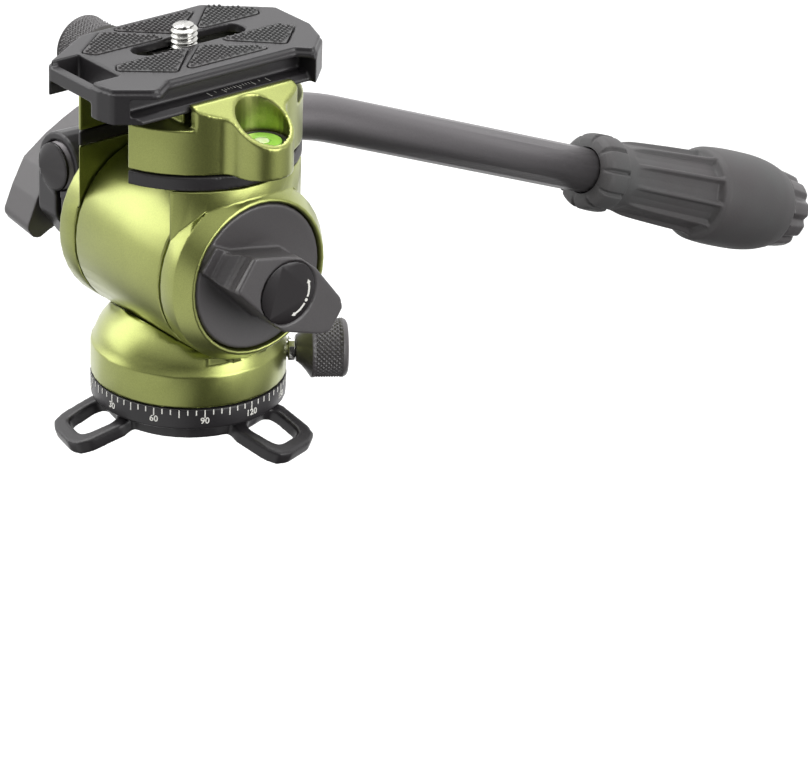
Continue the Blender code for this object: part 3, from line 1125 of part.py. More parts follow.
def tilt_knob(tilt_lock):
    root = TILT_FLANGE_OUT - TILT_FLANGE_DISH * 2
    outline = on_bar(TILT_BAR_ANGLE,
                     [(TILT_BAR_TIP * u, TILT_BAR_HALF_WIDTH * v) for u, v in TILT_BAR_SHARES])
    bar = prism("tilt_bar", [rounded(outline, TILT_BAR_CORNER)], root, TILT_BAR_TOP, about_tilt_axis)
    ledge_top = TILT_FLANGE_OUT + TILT_LEDGE_HEIGHT
    outline = on_bar(TILT_BAR_ANGLE,
                     [(TILT_BAR_TIP * u, TILT_BAR_HALF_WIDTH * v) for u, v in TILT_LEDGE_SHARES])
    ledge = prism("tilt_ledge", [rounded(outline, EDGE_BREAK)], root, ledge_top, about_tilt_axis)
    above = TILT_BAR_TOP + CUT_OVERRUN
    scoop = [(-TILT_BAR_TIP * (TILT_SCOOP_SHARE + u), ledge_top + (TILT_BAR_TOP - ledge_top) * v)
             for u, v in TILT_SCOOP_SHARES]
    half = 2 * TILT_BAR_HALF_WIDTH
    cut(bar, prism("tilt_scoop_cutter", [scoop], -half, half, tilt_bar_place))
    side = [(TILT_SIDE_REACH - TILT_SIDE_TAPER, ledge_top), (TILT_SIDE_REACH, TILT_BAR_TOP),
            (half, TILT_BAR_TOP), (half, TILT_KNOB_IN), (TILT_SIDE_REACH - TILT_SIDE_TAPER, TILT_KNOB_IN)]

    def side_place(u, v, h):
        across, along = on_bar(TILT_BAR_ANGLE + TILT_SIDE_ANGLE, [(h, u)])[0]
        return about_tilt_axis(across, along, v)
    cut(bar, prism("tilt_side_cutter", [side], -TILT_BAR_TIP, TILT_BAR_TIP, side_place))
    dish = TILT_FLANGE_OUT - TILT_FLANGE_DISH
    bore = TILT_SCREW_RADIUS + SEAT_GAP
    head = TILT_FLANGE_OUT + TILT_SCREW_HEAD_DEPTH
    profile = ((TILT_KNOB_IN, 0.0), (TILT_KNOB_IN, TILT_FLANGE_RADIUS - EDGE_BREAK),
               (TILT_KNOB_IN + EDGE_BREAK, TILT_FLANGE_RADIUS),
               (TILT_FLANGE_OUT - EDGE_BREAK, TILT_FLANGE_RADIUS),
               (TILT_FLANGE_OUT, TILT_FLANGE_RADIUS - EDGE_BREAK), (dish, TILT_BAR_HALF_WIDTH), (dish, 0.0))
    knob = turned("tilt_lock_knob", profile, about_tilt_axis, LARGE_ROUND, False, tilt_lock, MOULDED_BLACK)
    unite(knob, bar, ledge)
    cut(knob, rod("tilt_knob_bore", TILT_KNOB_IN - CUT_OVERRUN, head + SEAT_GAP, bore, about_tilt_axis))
    label_floor = TILT_BAR_TOP - TILT_LABEL_THICKNESS
    cut(knob, rod("tilt_label_recess", label_floor, above, TILT_LABEL_RADIUS + SEAT_GAP, about_tilt_axis,
                  MEDIUM_ROUND))
    rod("tilt_knob_label", label_floor + SEAT_GAP, TILT_BAR_TOP, TILT_LABEL_RADIUS, about_tilt_axis,
        MEDIUM_ROUND, tilt_lock, MOULDED_BLACK)
    tip = KNOB_RECESS_X - SEAT_GAP - TILT_SCREW_DEPTH + SEAT_GAP
    rod("tilt_lock_screw", tip, head, TILT_SCREW_RADIUS, about_tilt_axis, SMALL_ROUND, tilt_lock,
        BRIGHT_STEEL)


def slope_vector(slope):
    return Vector((0.0, math.cos(slope), math.sin(slope)))


def handle_corner():
    """Where the tube's two straight stretches would meet."""
    rise = (HANDLE_CORNER_Y - HANDLE_TUBE_FRONT) * math.tan(HANDLE_FIRST_SLOPE)
    return Vector((HANDLE_X, HANDLE_CORNER_Y, TILT_AXIS_HEIGHT + HANDLE_TUBE_FRONT_RISE + rise))


def along_slope(origin, slope):
    forward = slope_vector(slope)
    upward = Vector((0.0, -forward.z, forward.y))

    def place(u, v, h):
        return origin + Vector((u, 0.0, 0.0)) + upward * v + forward * h
    return place


def tube_front():
    return Vector((HANDLE_X, HANDLE_TUBE_FRONT, TILT_AXIS_HEIGHT + HANDLE_TUBE_FRONT_RISE))


def handle_route():
    """Centre line of the tube: straight, one bend, straight into the grip; each point with its slope."""
    corner = handle_corner()
    turn = HANDLE_FIRST_SLOPE - HANDLE_SECOND_SLOPE
    setback = HANDLE_BEND_RADIUS * math.tan(turn / 2)
    bend_start = corner - slope_vector(HANDLE_FIRST_SLOPE) * setback
    upward = slope_vector(HANDLE_FIRST_SLOPE + math.pi / 2)
    centre = bend_start - upward * HANDLE_BEND_RADIUS
    route = [(tube_front(), HANDLE_FIRST_SLOPE)]
    for step in range(HANDLE_BEND_STEPS + 1):
        slope = HANDLE_FIRST_SLOPE - turn * step / HANDLE_BEND_STEPS
        route.append((centre + slope_vector(slope + math.pi / 2) * HANDLE_BEND_RADIUS, slope))
    end = corner + slope_vector(HANDLE_SECOND_SLOPE) * (GRIP_START + GRIP_TUBE_DEPTH)
    route.append((end, HANDLE_SECOND_SLOPE))
    return route


def handle_tube(handle):
    steps = MEDIUM_ROUND // 2 + MEDIUM_ROUND // 10
    inner = HANDLE_TUBE_RADIUS - HANDLE_TUBE_WALL
    shape = bmesh.new()
    route = handle_route()
    path = [(point, slope, HANDLE_TUBE_RADIUS) for point, slope in route]
    path += [(point, slope, inner) for point, slope in reversed(route)]
    rings = []
    for point, slope, radius in path:
        place = along_slope(point, slope)
        rings.append([shape.verts.new(place(u, v, 0.0)) for u, v in circle(0.0, 0.0, radius, steps)])
    for number, first in enumerate(rings):
        second = rings[(number + 1) % len(rings)]
        for index in range(steps):
            after = (index + 1) % steps
            shape.faces.new((first[index], first[after], second[after], second[index]))
    return solid("handle_tube", shape, handle, TUBE_FINISH)


def handle_clamp(handle):
    front = HANDLE_BOSS_FRONT
    back = HANDLE_BOSS_BACK
    ear = HANDLE_EAR_RADIUS
    rise = HANDLE_TUBE_FRONT_RISE
    outline = rounded(((front, rise), (front, -ear / 4), (front / 2, -ear), (back / 2, -ear),
                       (back, -ear / 4), (back, rise)), ear / 3, CORNER_STEPS)
    ears = prism("handle_clamp", [outline], EAR_LEFT, EAR_RIGHT, about_tilt_axis, handle, ANODISED_BLACK)
    place = along_slope(tube_front(), HANDLE_FIRST_SLOPE)
    start = front - HANDLE_TUBE_FRONT
    end = back - HANDLE_TUBE_FRONT
    boss_profile = ((start, HANDLE_BOSS_RADIUS - EDGE_BREAK), (start + EDGE_BREAK, HANDLE_BOSS_RADIUS),
                    (end - EDGE_BREAK, HANDLE_BOSS_RADIUS), (end, HANDLE_BOSS_RADIUS - EDGE_BREAK))
    boss = turned("handle_boss", boss_profile, place, MEDIUM_ROUND)
    unite(ears, boss)
    cut(ears, rod("handle_tube_bore", start - 2 * CUT_OVERRUN, end + 2 * CUT_OVERRUN,
                  HANDLE_TUBE_RADIUS + SEAT_GAP, place, MEDIUM_ROUND))
    half_slot = HANDLE_SLOT_WIDTH / 2
    cut(ears, block("handle_slot_cutter", (HANDLE_X - half_slot, front - CUT_OVERRUN, 0.0),
                    (HANDLE_X + half_slot, back + CUT_OVERRUN, TILT_AXIS_HEIGHT + rise)))
    cut(ears, rod("handle_bolt_bore", EAR_LEFT - CUT_OVERRUN, EAR_RIGHT + CUT_OVERRUN,
                  HANDLE_BOLT_RADIUS + RUNNING_GAP, about_tilt_axis))
    return ears


def handle_small_parts(tilt, handle):
    place = along_slope(tube_front(), HANDLE_FIRST_SLOPE)
    spigot = HANDLE_TUBE_RADIUS - HANDLE_TUBE_WALL - SEAT_GAP
    face = -SEAT_GAP - 2 * HANDLE_PLUG_STAND
    profile = ((face, 0.0), (face, HANDLE_TUBE_RADIUS - HANDLE_PLUG_STAND),
               (face + HANDLE_PLUG_STAND, HANDLE_TUBE_RADIUS), (-SEAT_GAP, HANDLE_TUBE_RADIUS),
               (-SEAT_GAP, spigot), (HANDLE_PLUG_DEPTH, spigot), (HANDLE_PLUG_DEPTH, 0.0))
    turned("handle_end_plug", profile, place, MEDIUM_ROUND, False, handle, MOULDED_BLACK)
    bore = HANDLE_BOLT_RADIUS + RUNNING_GAP
    cheek_end = LEFT_CHEEK_OUT - SEAT_GAP
    middle = cheek_end - ROSETTE_THICKNESS
    washer("frame_rosette", middle, cheek_end, bore, HANDLE_ROSETTE_RADIUS, about_tilt_axis,
           HANDLE_ROSETTE_TEETH, tilt, BRIGHT_STEEL)
    washer("handle_rosette", EAR_RIGHT + SEAT_GAP, middle - SEAT_GAP, bore, HANDLE_ROSETTE_RADIUS,
           about_tilt_axis, HANDLE_ROSETTE_TEETH, handle, BRIGHT_STEEL)


def handle_grip(handle):
    place = along_slope(handle_corner(), HANDLE_SECOND_SLOPE)
    length = GRIP_END - GRIP_START
    outer = [(GRIP_START + length * share, GRIP_RADIUS * width) for share, width in GRIP_SHARES]
    flute_start = GRIP_START + length * GRIP_FLUTE_START_SHARE
    flute_end = GRIP_START + length * GRIP_FLUTE_END_SHARE
    bore = HANDLE_TUBE_RADIUS + SEAT_GAP
    bottom = GRIP_START + GRIP_TUBE_DEPTH + SEAT_GAP

    def flutes(index, height, reach):
        fluted = flute_start < height < flute_end and reach > bore
        return reach - GRIP_FLUTE_DEPTH if fluted and index % 3 == 0 else reach
    profile = [(bottom, 0.0), (bottom, bore), (GRIP_START, bore)] + outer + [(GRIP_END, 0.0)]
    turned("handle_grip", profile, place, 3 * GRIP_FLUTES, False, handle, RUBBER_BLACK, flutes)
    start = GRIP_END + SEAT_GAP
    cap = [(start + GRIP_CAP_LENGTH * share, GRIP_RADIUS * width) for share, width in GRIP_CAP_SHARES]

    def notches(index, height, reach):
        return reach - GRIP_CAP_NOTCH if index % 4 == 0 else reach
    turned("grip_end_cap", cap, place, 4 * GRIP_CAP_NOTCHES, False, handle, MOULDED_BLACK, notches)


def wing_knob(handle_lock):
    start = WING_RIGHT
    hub_end = start - WING_HUB_LENGTH
    wing_end = hub_end - WING_LENGTH
    hub = rod("handle_lock_knob", start, hub_end - EDGE_BREAK, WING_HUB_RADIUS, about_tilt_axis,
              MEDIUM_ROUND, handle_lock, MOULDED_BLACK)
    lobe = [(WING_REACH * u, WING_HALF_WIDTH * v) for u, v in WING_SHARES]
    outline = lobe + [(-u, -v) for u, v in lobe]

    def tapered(u, v, h):
        size = 1 - WING_TAPER * (hub_end - h) / WING_LENGTH
        return about_tilt_axis(u * size, v * size, h)
    wing = prism("wing", [rounded(on_bar(WING_ANGLE, outline), WING_CORNER)], wing_end, hub_end, tapered)
    unite(hub, wing)
    bolt_end = hub_end - WING_LENGTH / 2
    cut(hub, rod("wing_bore", bolt_end - SEAT_GAP, start + CUT_OVERRUN, HANDLE_BOLT_RADIUS + SEAT_GAP,
                 about_tilt_axis))
    bolt_tip = LEFT_CHEEK_OUT + SEAT_GAP + HANDLE_BOLT_DEPTH - SEAT_GAP
    rod("handle_bolt", bolt_end, bolt_tip, HANDLE_BOLT_RADIUS, about_tilt_axis, SMALL_ROUND, handle_lock,
        BRIGHT_STEEL)


def main():
    clear_scene()
    tilt_axis = (0.0, 0.0, TILT_AXIS_HEIGHT)
    pan = joint_empty("pan_joint", Vector((0.0, 0.0, 0.0)))
    pan_lock = joint_empty("pan_lock_joint", along_pan_lock(0.0, 0.0, DIAL_RADIUS))
    shoe = joint_empty("pan_shoe_joint", along_pan_lock(0.0, 0.0, JOURNAL_RADIUS))
    tilt = joint_empty("tilt_joint", Vector(tilt_axis))
    tilt_lock = joint_empty("tilt_lock_joint", Vector(tilt_axis))
    handle = joint_empty("handle_joint", Vector(tilt_axis))
    handle_lock = joint_empty("handle_lock_joint", Vector(tilt_axis))
    clamp_jaw = joint_empty("clamp_jaw_joint", Vector((MOVING_JAW_RIGHT, 0.0, CLAMP_KNOB_HEIGHT)))
    clamp_knob = joint_empty("clamp_knob_joint", Vector((CLAMP_KNOB_RIGHT, 0.0, CLAMP_KNOB_HEIGHT)))
    plate = joint_empty("plate_joint", Vector((PLATE_CENTRE_X, 0.0, PLATE_BOTTOM)))
    carriage = joint_empty("carriage_joint", Vector((SLOT_CENTRE_X, CAMERA_SCREW_Y, PLATE_TOP)))
    screw = joint_empty("camera_screw_joint", Vector((SLOT_CENTRE_X, CAMERA_SCREW_Y, PLATE_TOP)))

    strap_plate()
    pan_dial()
    pan_spindle()
    pan_washer_and_nut()
    pan_drag_ring()
    pan_housing(pan)
    pan_lock_group(pan_lock, shoe)
    drag_barrel(pan)
    drag_stack(pan, tilt)
    tilt_shaft(tilt)
    left_cheek(tilt)
    right_cheek(tilt)
    spacer(tilt)
    frame_dowels(tilt)
    clamp_body(tilt)
    level(tilt)
    clamp_group(tilt, clamp_jaw, clamp_knob)
    quick_plate(plate)
    camera_screw(carriage, screw)
    tilt_knob(tilt_lock)
    handle_tube(handle)
    handle_clamp(handle)
    handle_small_parts(tilt, handle)
    handle_grip(handle)
    wing_knob(handle_lock)
    bpy.context.view_layer.update()


main()
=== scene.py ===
"""Looks for the fluid video head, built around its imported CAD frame."""
import json
import math

import bmesh
import bpy
from mathutils import Matrix, Vector


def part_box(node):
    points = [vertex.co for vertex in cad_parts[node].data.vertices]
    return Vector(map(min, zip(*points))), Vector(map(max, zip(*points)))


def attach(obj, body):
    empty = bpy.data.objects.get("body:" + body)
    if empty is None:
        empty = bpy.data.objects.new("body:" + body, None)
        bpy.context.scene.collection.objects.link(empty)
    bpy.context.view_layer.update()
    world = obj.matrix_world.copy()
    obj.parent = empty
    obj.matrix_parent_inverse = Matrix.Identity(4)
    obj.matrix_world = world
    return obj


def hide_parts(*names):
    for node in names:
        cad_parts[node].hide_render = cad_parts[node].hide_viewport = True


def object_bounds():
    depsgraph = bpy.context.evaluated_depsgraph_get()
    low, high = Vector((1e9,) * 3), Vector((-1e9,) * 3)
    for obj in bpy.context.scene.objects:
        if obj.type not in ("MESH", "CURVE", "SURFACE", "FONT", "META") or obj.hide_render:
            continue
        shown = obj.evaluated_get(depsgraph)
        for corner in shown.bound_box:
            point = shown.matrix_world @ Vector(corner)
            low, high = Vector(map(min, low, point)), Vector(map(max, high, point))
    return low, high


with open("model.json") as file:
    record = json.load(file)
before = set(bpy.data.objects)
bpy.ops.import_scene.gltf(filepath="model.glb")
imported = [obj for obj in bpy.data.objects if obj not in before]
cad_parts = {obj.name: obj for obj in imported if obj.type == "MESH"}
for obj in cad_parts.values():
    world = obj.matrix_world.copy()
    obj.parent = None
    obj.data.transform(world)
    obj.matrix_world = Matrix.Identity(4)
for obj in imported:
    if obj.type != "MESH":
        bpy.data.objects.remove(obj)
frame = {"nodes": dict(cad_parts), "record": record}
CAD_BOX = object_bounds()

bl_info = {
    "name": "Fluid video head",
    "version": (1, 0, 0),
    "blender": (4, 5, 0),
    "location": "View3D > Sidebar > Fluid head",
    "description": "Dresses the fluid head's frame with turned, knurled and moulded surfaces",
    "category": "Object",
}

MM = 0.001
MERGE_DISTANCE = 0.002 * MM
PRINT_THICKNESS = 0.05 * MM
RIGHT = (1.0, 0.0, 0.0)
BACK = (0.0, 1.0, 0.0)
UP = (0.0, 0.0, 1.0)

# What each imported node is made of: the slot's name in the record is also the material's key
NODES = frame["nodes"]
SLOT_OF = {entry["node"]: entry["material_slot"] for entry in frame["record"]["subparts"]}
BODIES = frame["record"]["behaviour"]["bodies"]
BODY_OF = {node: body for body, members in BODIES.items() for node in members}

# Body and strap loops
TILT_AXIS = Vector((0.0, 0.0, 42.9 * MM))
COLUMN_RADIUS = 26.2 * MM
COLUMN_FLAT = 0.1 * MM
MACHINED_VOXEL = 0.36 * MM
MACHINED_ROUNDS = 3
LOOP_ROUNDS = 40

# Dial
DIAL_RADIUS = 23.5 * MM
DIAL_TICK_TOP = 9.15 * MM
DIAL_TICK_WIDTH = 0.28 * MM
DIAL_TICKS = 72
DIAL_ZERO = math.radians(-117.0)
NUMBER_MIDDLE = 6.35 * MM
NUMBER_BOLDNESS = 0.03 * MM
NUMBER_STEP = 30

# Knurled knobs: turn is degrees round from +X, seat is the distance from the upright axis, the grip runs
# from and to distances from the seat, and an outline's pairs are distance from the seat and radius, in mm
PAN_KNOB = {
    "turn": 56.0, "height": 14.3 * MM, "seat": 25.7 * MM, "radius": 7.2 * MM,
    "grip": (4.0 * MM, 11.1 * MM), "rows": 40,
    "neck": ((0.0, 0.0), (0.0, 3.2), (0.5, 3.5), (1.3, 4.2), (2.4, 5.5), (3.6, 7.2)),
    "face": ((12.0, 6.7), (12.4, 5.9), (12.25, 5.0), (12.2, 0.0)),
}
CLAMP_KNOB = {
    "turn": 180.0, "height": 78.2 * MM, "seat": 32.8 * MM, "radius": 7.8 * MM,
    "grip": (2.0 * MM, 10.4 * MM), "rows": 42,
    "neck": ((0.0, 0.0), (0.0, 4.8), (1.2, 4.8), (1.25, 7.1)),
    "face": ((11.2, 7.1), (11.1, 5.5), (11.1, 0.0)),
}
CLAMP_KNURL_SHARE = 0.85
STEPS_PER_DIAMOND = 6

# Quick release plate
PLATE_TOP = 93.1 * MM
PLATE_VOXEL = 0.32 * MM
PLATE_ROUNDS = 3
LEDGE_HEIGHT = 1.9 * MM
RULER_START_X = 15.1 * MM
RULER_MIDDLE_Y = 1.6 * MM
RULER_STEP = 4.2 * MM
RULER_LONG = 2.1 * MM
RULER_SHORT = 0.9 * MM
RULER_LINE = 0.16 * MM

# Rubber pads: each bump's sizes are shares of the bumps' spacing, or of the pad's height over the plate
BUMP_SIDES = 8
BUMP_FOOT_SHARE = 0.42
BUMP_CROWN_SHARE = 0.24
BUMP_MARGIN_SHARE = 0.24
BUMP_DEPTH_SHARE = 1.3

# Camera screw
SCREW_RADIUS = 3.175 * MM
SCREW_HEAD_RADIUS = 5.6 * MM
SCREW_HEAD_HEIGHT = 2.4 * MM
SCREW_HEAD_CHAMFER = 0.3 * MM
SCREW_KEY_RADIUS = 2.2 * MM
SCREW_KEY_DEPTH = 1.6 * MM
SCREW_NECK = 0.8 * MM
SCREW_TIP = 0.45 * MM
SCREW_TIP_CHAMFER = 1.0 * MM
THREAD_DEPTH = 0.55 * MM
THREAD_FLANK_SLOPE = 2.6
THREAD_CREST = 0.15
THREAD_RUN_OUT_SHARE = 0.8
THREAD_ROWS = 88
THREAD_STEPS = 64

# Tilt lock: each span is the degrees where an arrow starts and ends; its head's length is in radians
TILT_KNOB_VOXEL = 0.28 * MM
ARROW_RADIUS = 6.0 * MM
ARROW_HALF_WIDTH = 0.26 * MM
ARROW_SPANS = ((-22.0, 21.0), (-38.0, -81.0))
ARROW_HEAD_LENGTH = 0.16
ARROW_HEAD_FLARE = 2.2
ARROW_STEPS = 14
DOT_SIDES = 24
DOT_ANGLE = math.radians(-30.0)
DOT_RADIUS = 0.42 * MM

# Handle: the tube leaves its clamp over the tilt axis, falls gently over its run and bends down to the grip
TUBE_X = -34.5 * MM
TUBE_RISE = 10.5 * MM
TUBE_RUN = 72.2 * MM
TUBE_SLOPE = math.radians(2.07)
TUBE_BEND_Y = 57.8 * MM
TUBE_BEND = Vector((TUBE_X, TUBE_BEND_Y, TILT_AXIS.z + TUBE_RISE - TUBE_RUN * math.tan(TUBE_SLOPE)))

# Grip: lengths start at the tube's bend, and the outline is shares of its length and of its widest radius
GRIP_SLOPE = math.radians(-21.8)
GRIP_RIDGES = 10
GRIP_RADIUS = 13.3 * MM
GRIP_START = 105.5 * MM
GRIP_LENGTH = 73.5 * MM
GRIP_BORE = 6.3 * MM
GRIP_BORE_DEPTH = 68.3 * MM
GRIP_STEP = 0.4 * MM
GRIP_OUTLINE_SHARES = (
    (0.0, 0.64), (0.012, 0.73), (0.030, 0.77), (0.103, 0.77), (0.118, 0.68), (0.150, 0.67), (0.23, 0.75),
    (0.42, 0.81), (0.56, 0.845), (0.60, 0.90), (0.622, 0.965), (0.71, 1.0), (0.85, 0.995), (0.93, 0.945),
    (0.985, 0.87), (1.0, 0.84))
COLLAR_END_SHARE = 0.110
COLLAR_NOTCH = 0.9 * MM
FLUTES_START_SHARE = 0.150
FLUTES_END_SHARE = 0.600
FLUTE_FLOOR_SHARE = 0.655
FLUTE_FLOOR_RISE_SHARE = 0.075
FLUTE_CROWN = 0.35 * MM
STEPS_PER_RIDGE = 24
# Each pair is where a cut begins and where it is full: phases across a flute, or shares along it
NOTCH_SIDE = (0.25, 0.05)
FLUTE_SIDE = (0.90, 0.72)
FLUTE_START = (0.0, 0.06)
FLUTE_END = (1.0, 0.975)

# Studio: directions are degrees round from the front towards +X, and degrees up
FLOOR_DROP = 150 * MM
FLOOR_SIZE = 6.0
PAPER_FIBRE = 1.5 * MM
PAPER_RELIEF = 0.01 * MM
PAPER_ROUGHNESS = 0.9
PAPER_GLOW = 1.2
PAPER_GLOW_SHARE = 0.65
WHITE = (1.0, 1.0, 1.0, 1.0)
SOFTBOX_TARGET = Vector((0.0, 0.03, 0.05))
SOFTBOXES = (
    {"name": "left_softbox", "azimuth": -50.0, "elevation": 30.0, "distance": 1.2, "size": (0.9, 1.0),
     "power": 6.0},
    {"name": "top_softbox", "azimuth": -110.0, "elevation": 70.0, "distance": 1.3, "size": (1.3, 1.1),
     "power": 15.0},
    {"name": "right_softbox", "azimuth": 105.0, "elevation": 15.0, "distance": 1.2, "size": (0.8, 0.9),
     "power": 9.0},
)
# Soft white fields of the world: full strength within full degrees of the direction, and none past edge
DARK_STUDIO = 0.035
WHITE_FIELDS = (
    {"azimuth": -130.0, "elevation": 15.0, "full": 55.0, "edge": 84.0, "strength": 1.25},
    {"azimuth": 0.0, "elevation": 90.0, "full": 30.0, "edge": 75.0, "strength": 0.9},
    {"azimuth": -60.0, "elevation": 0.0, "full": 28.0, "edge": 52.0, "strength": 0.95},
    {"azimuth": 4.0, "elevation": -30.0, "full": 24.0, "edge": 54.0, "strength": 0.86},
    {"azimuth": 130.0, "elevation": 4.0, "full": 26.0, "edge": 56.0, "strength": 0.62},
)
CAMERA_PLACE = Vector((790.03 * MM, -592.03 * MM, 471.555 * MM))
CAMERA_AZIMUTH = 50.143
CAMERA_ELEVATION = 25.239
CAMERA_ROLL = 1.814
SENSOR_WIDTH = 36.0
PHOTO_WIDTH_PIXELS = 808
FOCAL_LENGTH_PIXELS = 4536


def linear(hex_colour):
    """Turns an sRGB hex value to the linear colour that a shader socket takes."""
    channels = []
    for start in (1, 3, 5):
        value = int(hex_colour[start:start + 2], 16) / 255
        channels.append(value / 12.92 if value <= 0.04045 else ((value + 0.055) / 1.055) ** 2.4)
    return tuple(channels)


def colour_property(label, about, hex_colour):
    return bpy.props.FloatVectorProperty(name=label, description=about, subtype="COLOR", size=3, min=0.0,
                                         max=1.0, default=linear(hex_colour))


def length_property(label, about, default):
    return bpy.props.FloatProperty(name=label, description=about, default=default, min=0.0, unit="LENGTH",
                                   precision=5)


class FluidHeadColours(bpy.types.PropertyGroup):
    green: colour_property("Green", "Dyed anodised aluminium of the body", "#A7AE62")
    green_deep: colour_property("Deep green", "Darker drift of the same dye", "#969D54")
    black_metal: colour_property("Black metal", "Black anodised aluminium", "#2A282A")
    tube: colour_property("Tube", "Satin coat on the handle tube", "#6E6B6D")
    nylon: colour_property("Nylon", "Moulded knobs", "#484546")
    rubber: colour_property("Rubber", "Grip and pads", "#4B4B4B")
    steel: colour_property("Steel", "Turned screws and pins", "#C9C8C4")
    bronze: colour_property("Bronze", "Bearing bushes and washers", "#A9824F")
    acetal: colour_property("Acetal", "Drag discs", "#D9D7CF")
    label: colour_property("Label", "The round label on the tilt lock", "#211D1F")
    ink: colour_property("Ink", "Printed marks", "#F2F1EA")
    liquid: colour_property("Liquid", "The level's liquid", "#86B848")
    bubble: colour_property("Bubble", "The level's bubble", "#D8F0A0")
    bubble_pale: colour_property("Pale bubble", "Paler drift of the bubble", "#EEF8D0")
    floor: colour_property("Floor", "Studio floor", "#F4F4F3")


class FluidHeadSizes(bpy.types.PropertyGroup):
    edge: length_property("Edge", "Width of the softened edges of machined pieces", 0.35 * MM)
    tick: length_property("Tick", "Length of a short tick on the dial", 1.3 * MM)
    long_tick: length_property("Long tick", "Length of each third tick on the dial", 1.95 * MM)
    number: length_property("Number", "Type size of the dial's numbers", 2.2 * MM)
    knurl: length_property("Knurl", "Spacing of the diamonds on the knobs", 1.25 * MM)
    knurl_depth: length_property("Knurl depth", "Depth of the diamonds", 0.5 * MM)
    thread: length_property("Thread", "Pitch of the camera screw's thread", 1.27 * MM)
    pad_bump: length_property("Pad bump", "Spacing of the bumps on the rubber pads", 1.25 * MM)


def add_node(tree, kind, inputs=None, **settings):
    """Adds one shader node; an input takes a value or another node's socket."""
    made = tree.nodes.new("ShaderNode" + kind)
    for name, value in settings.items():
        setattr(made, name, value)
    for name, value in (inputs or {}).items():
        if isinstance(value, bpy.types.NodeSocket):
            tree.links.new(value, made.inputs[name])
        else:
            made.inputs[name].default_value = value
    return made


def opaque(colour):
    return (colour[0], colour[1], colour[2], 1.0)


def surface(name, colour, drift, roughness, grain, depth, metallic=0.0, patches=18 * MM, speckle=0.0,
            **uniform):
    """A Principled material: two tones in patches, with a fine grain in the relief and the gloss.

    grain, depth and patches are metres on the real object; speckle lets the grain change the colour's
    value too, and uniform takes any other sockets, such as Coat_Weight for Coat Weight.
    """
    made = bpy.data.materials.new(name)
    made.use_nodes = True
    tree = made.node_tree
    shader = tree.nodes["Principled BSDF"]
    place = add_node(tree, "TexCoord").outputs["Object"]
    broad = add_node(tree, "TexNoise", {"Vector": place, "Scale": 1 / patches, "Detail": 3.0})
    fine = add_node(tree, "TexNoise", {"Vector": place, "Scale": 1 / grain, "Detail": 4.0, "Roughness": 0.65})
    share = add_node(tree, "MapRange", {"Value": broad.outputs["Fac"], "From Min": 0.35, "From Max": 0.65})
    toned = add_node(tree, "Mix", {"Factor": share.outputs["Result"], "A": opaque(colour),
                                   "B": opaque(drift)}, data_type="RGBA")
    level = add_node(tree, "MapRange", {"Value": fine.outputs["Fac"], "From Min": 0.3, "From Max": 0.7,
                                        "To Min": 1 - speckle, "To Max": 1 + speckle})
    graded = add_node(tree, "HueSaturation", {"Color": toned.outputs["Result"],
                                              "Value": level.outputs["Result"]})
    tree.links.new(graded.outputs["Color"], shader.inputs["Base Color"])
    gloss = add_node(tree, "MapRange", {"Value": fine.outputs["Fac"], "From Min": 0.3, "From Max": 0.7,
                                        "To Min": roughness * 0.88, "To Max": roughness * 1.12})
    tree.links.new(gloss.outputs["Result"], shader.inputs["Roughness"])
    relief = add_node(tree, "Bump", {"Height": fine.outputs["Fac"], "Distance": depth, "Strength": 1.0})
    tree.links.new(relief.outputs["Normal"], shader.inputs["Normal"])
    shader.inputs["Metallic"].default_value = metallic
    for socket, value in uniform.items():
        shader.inputs[socket.replace("_", " ")].default_value = value
    return made


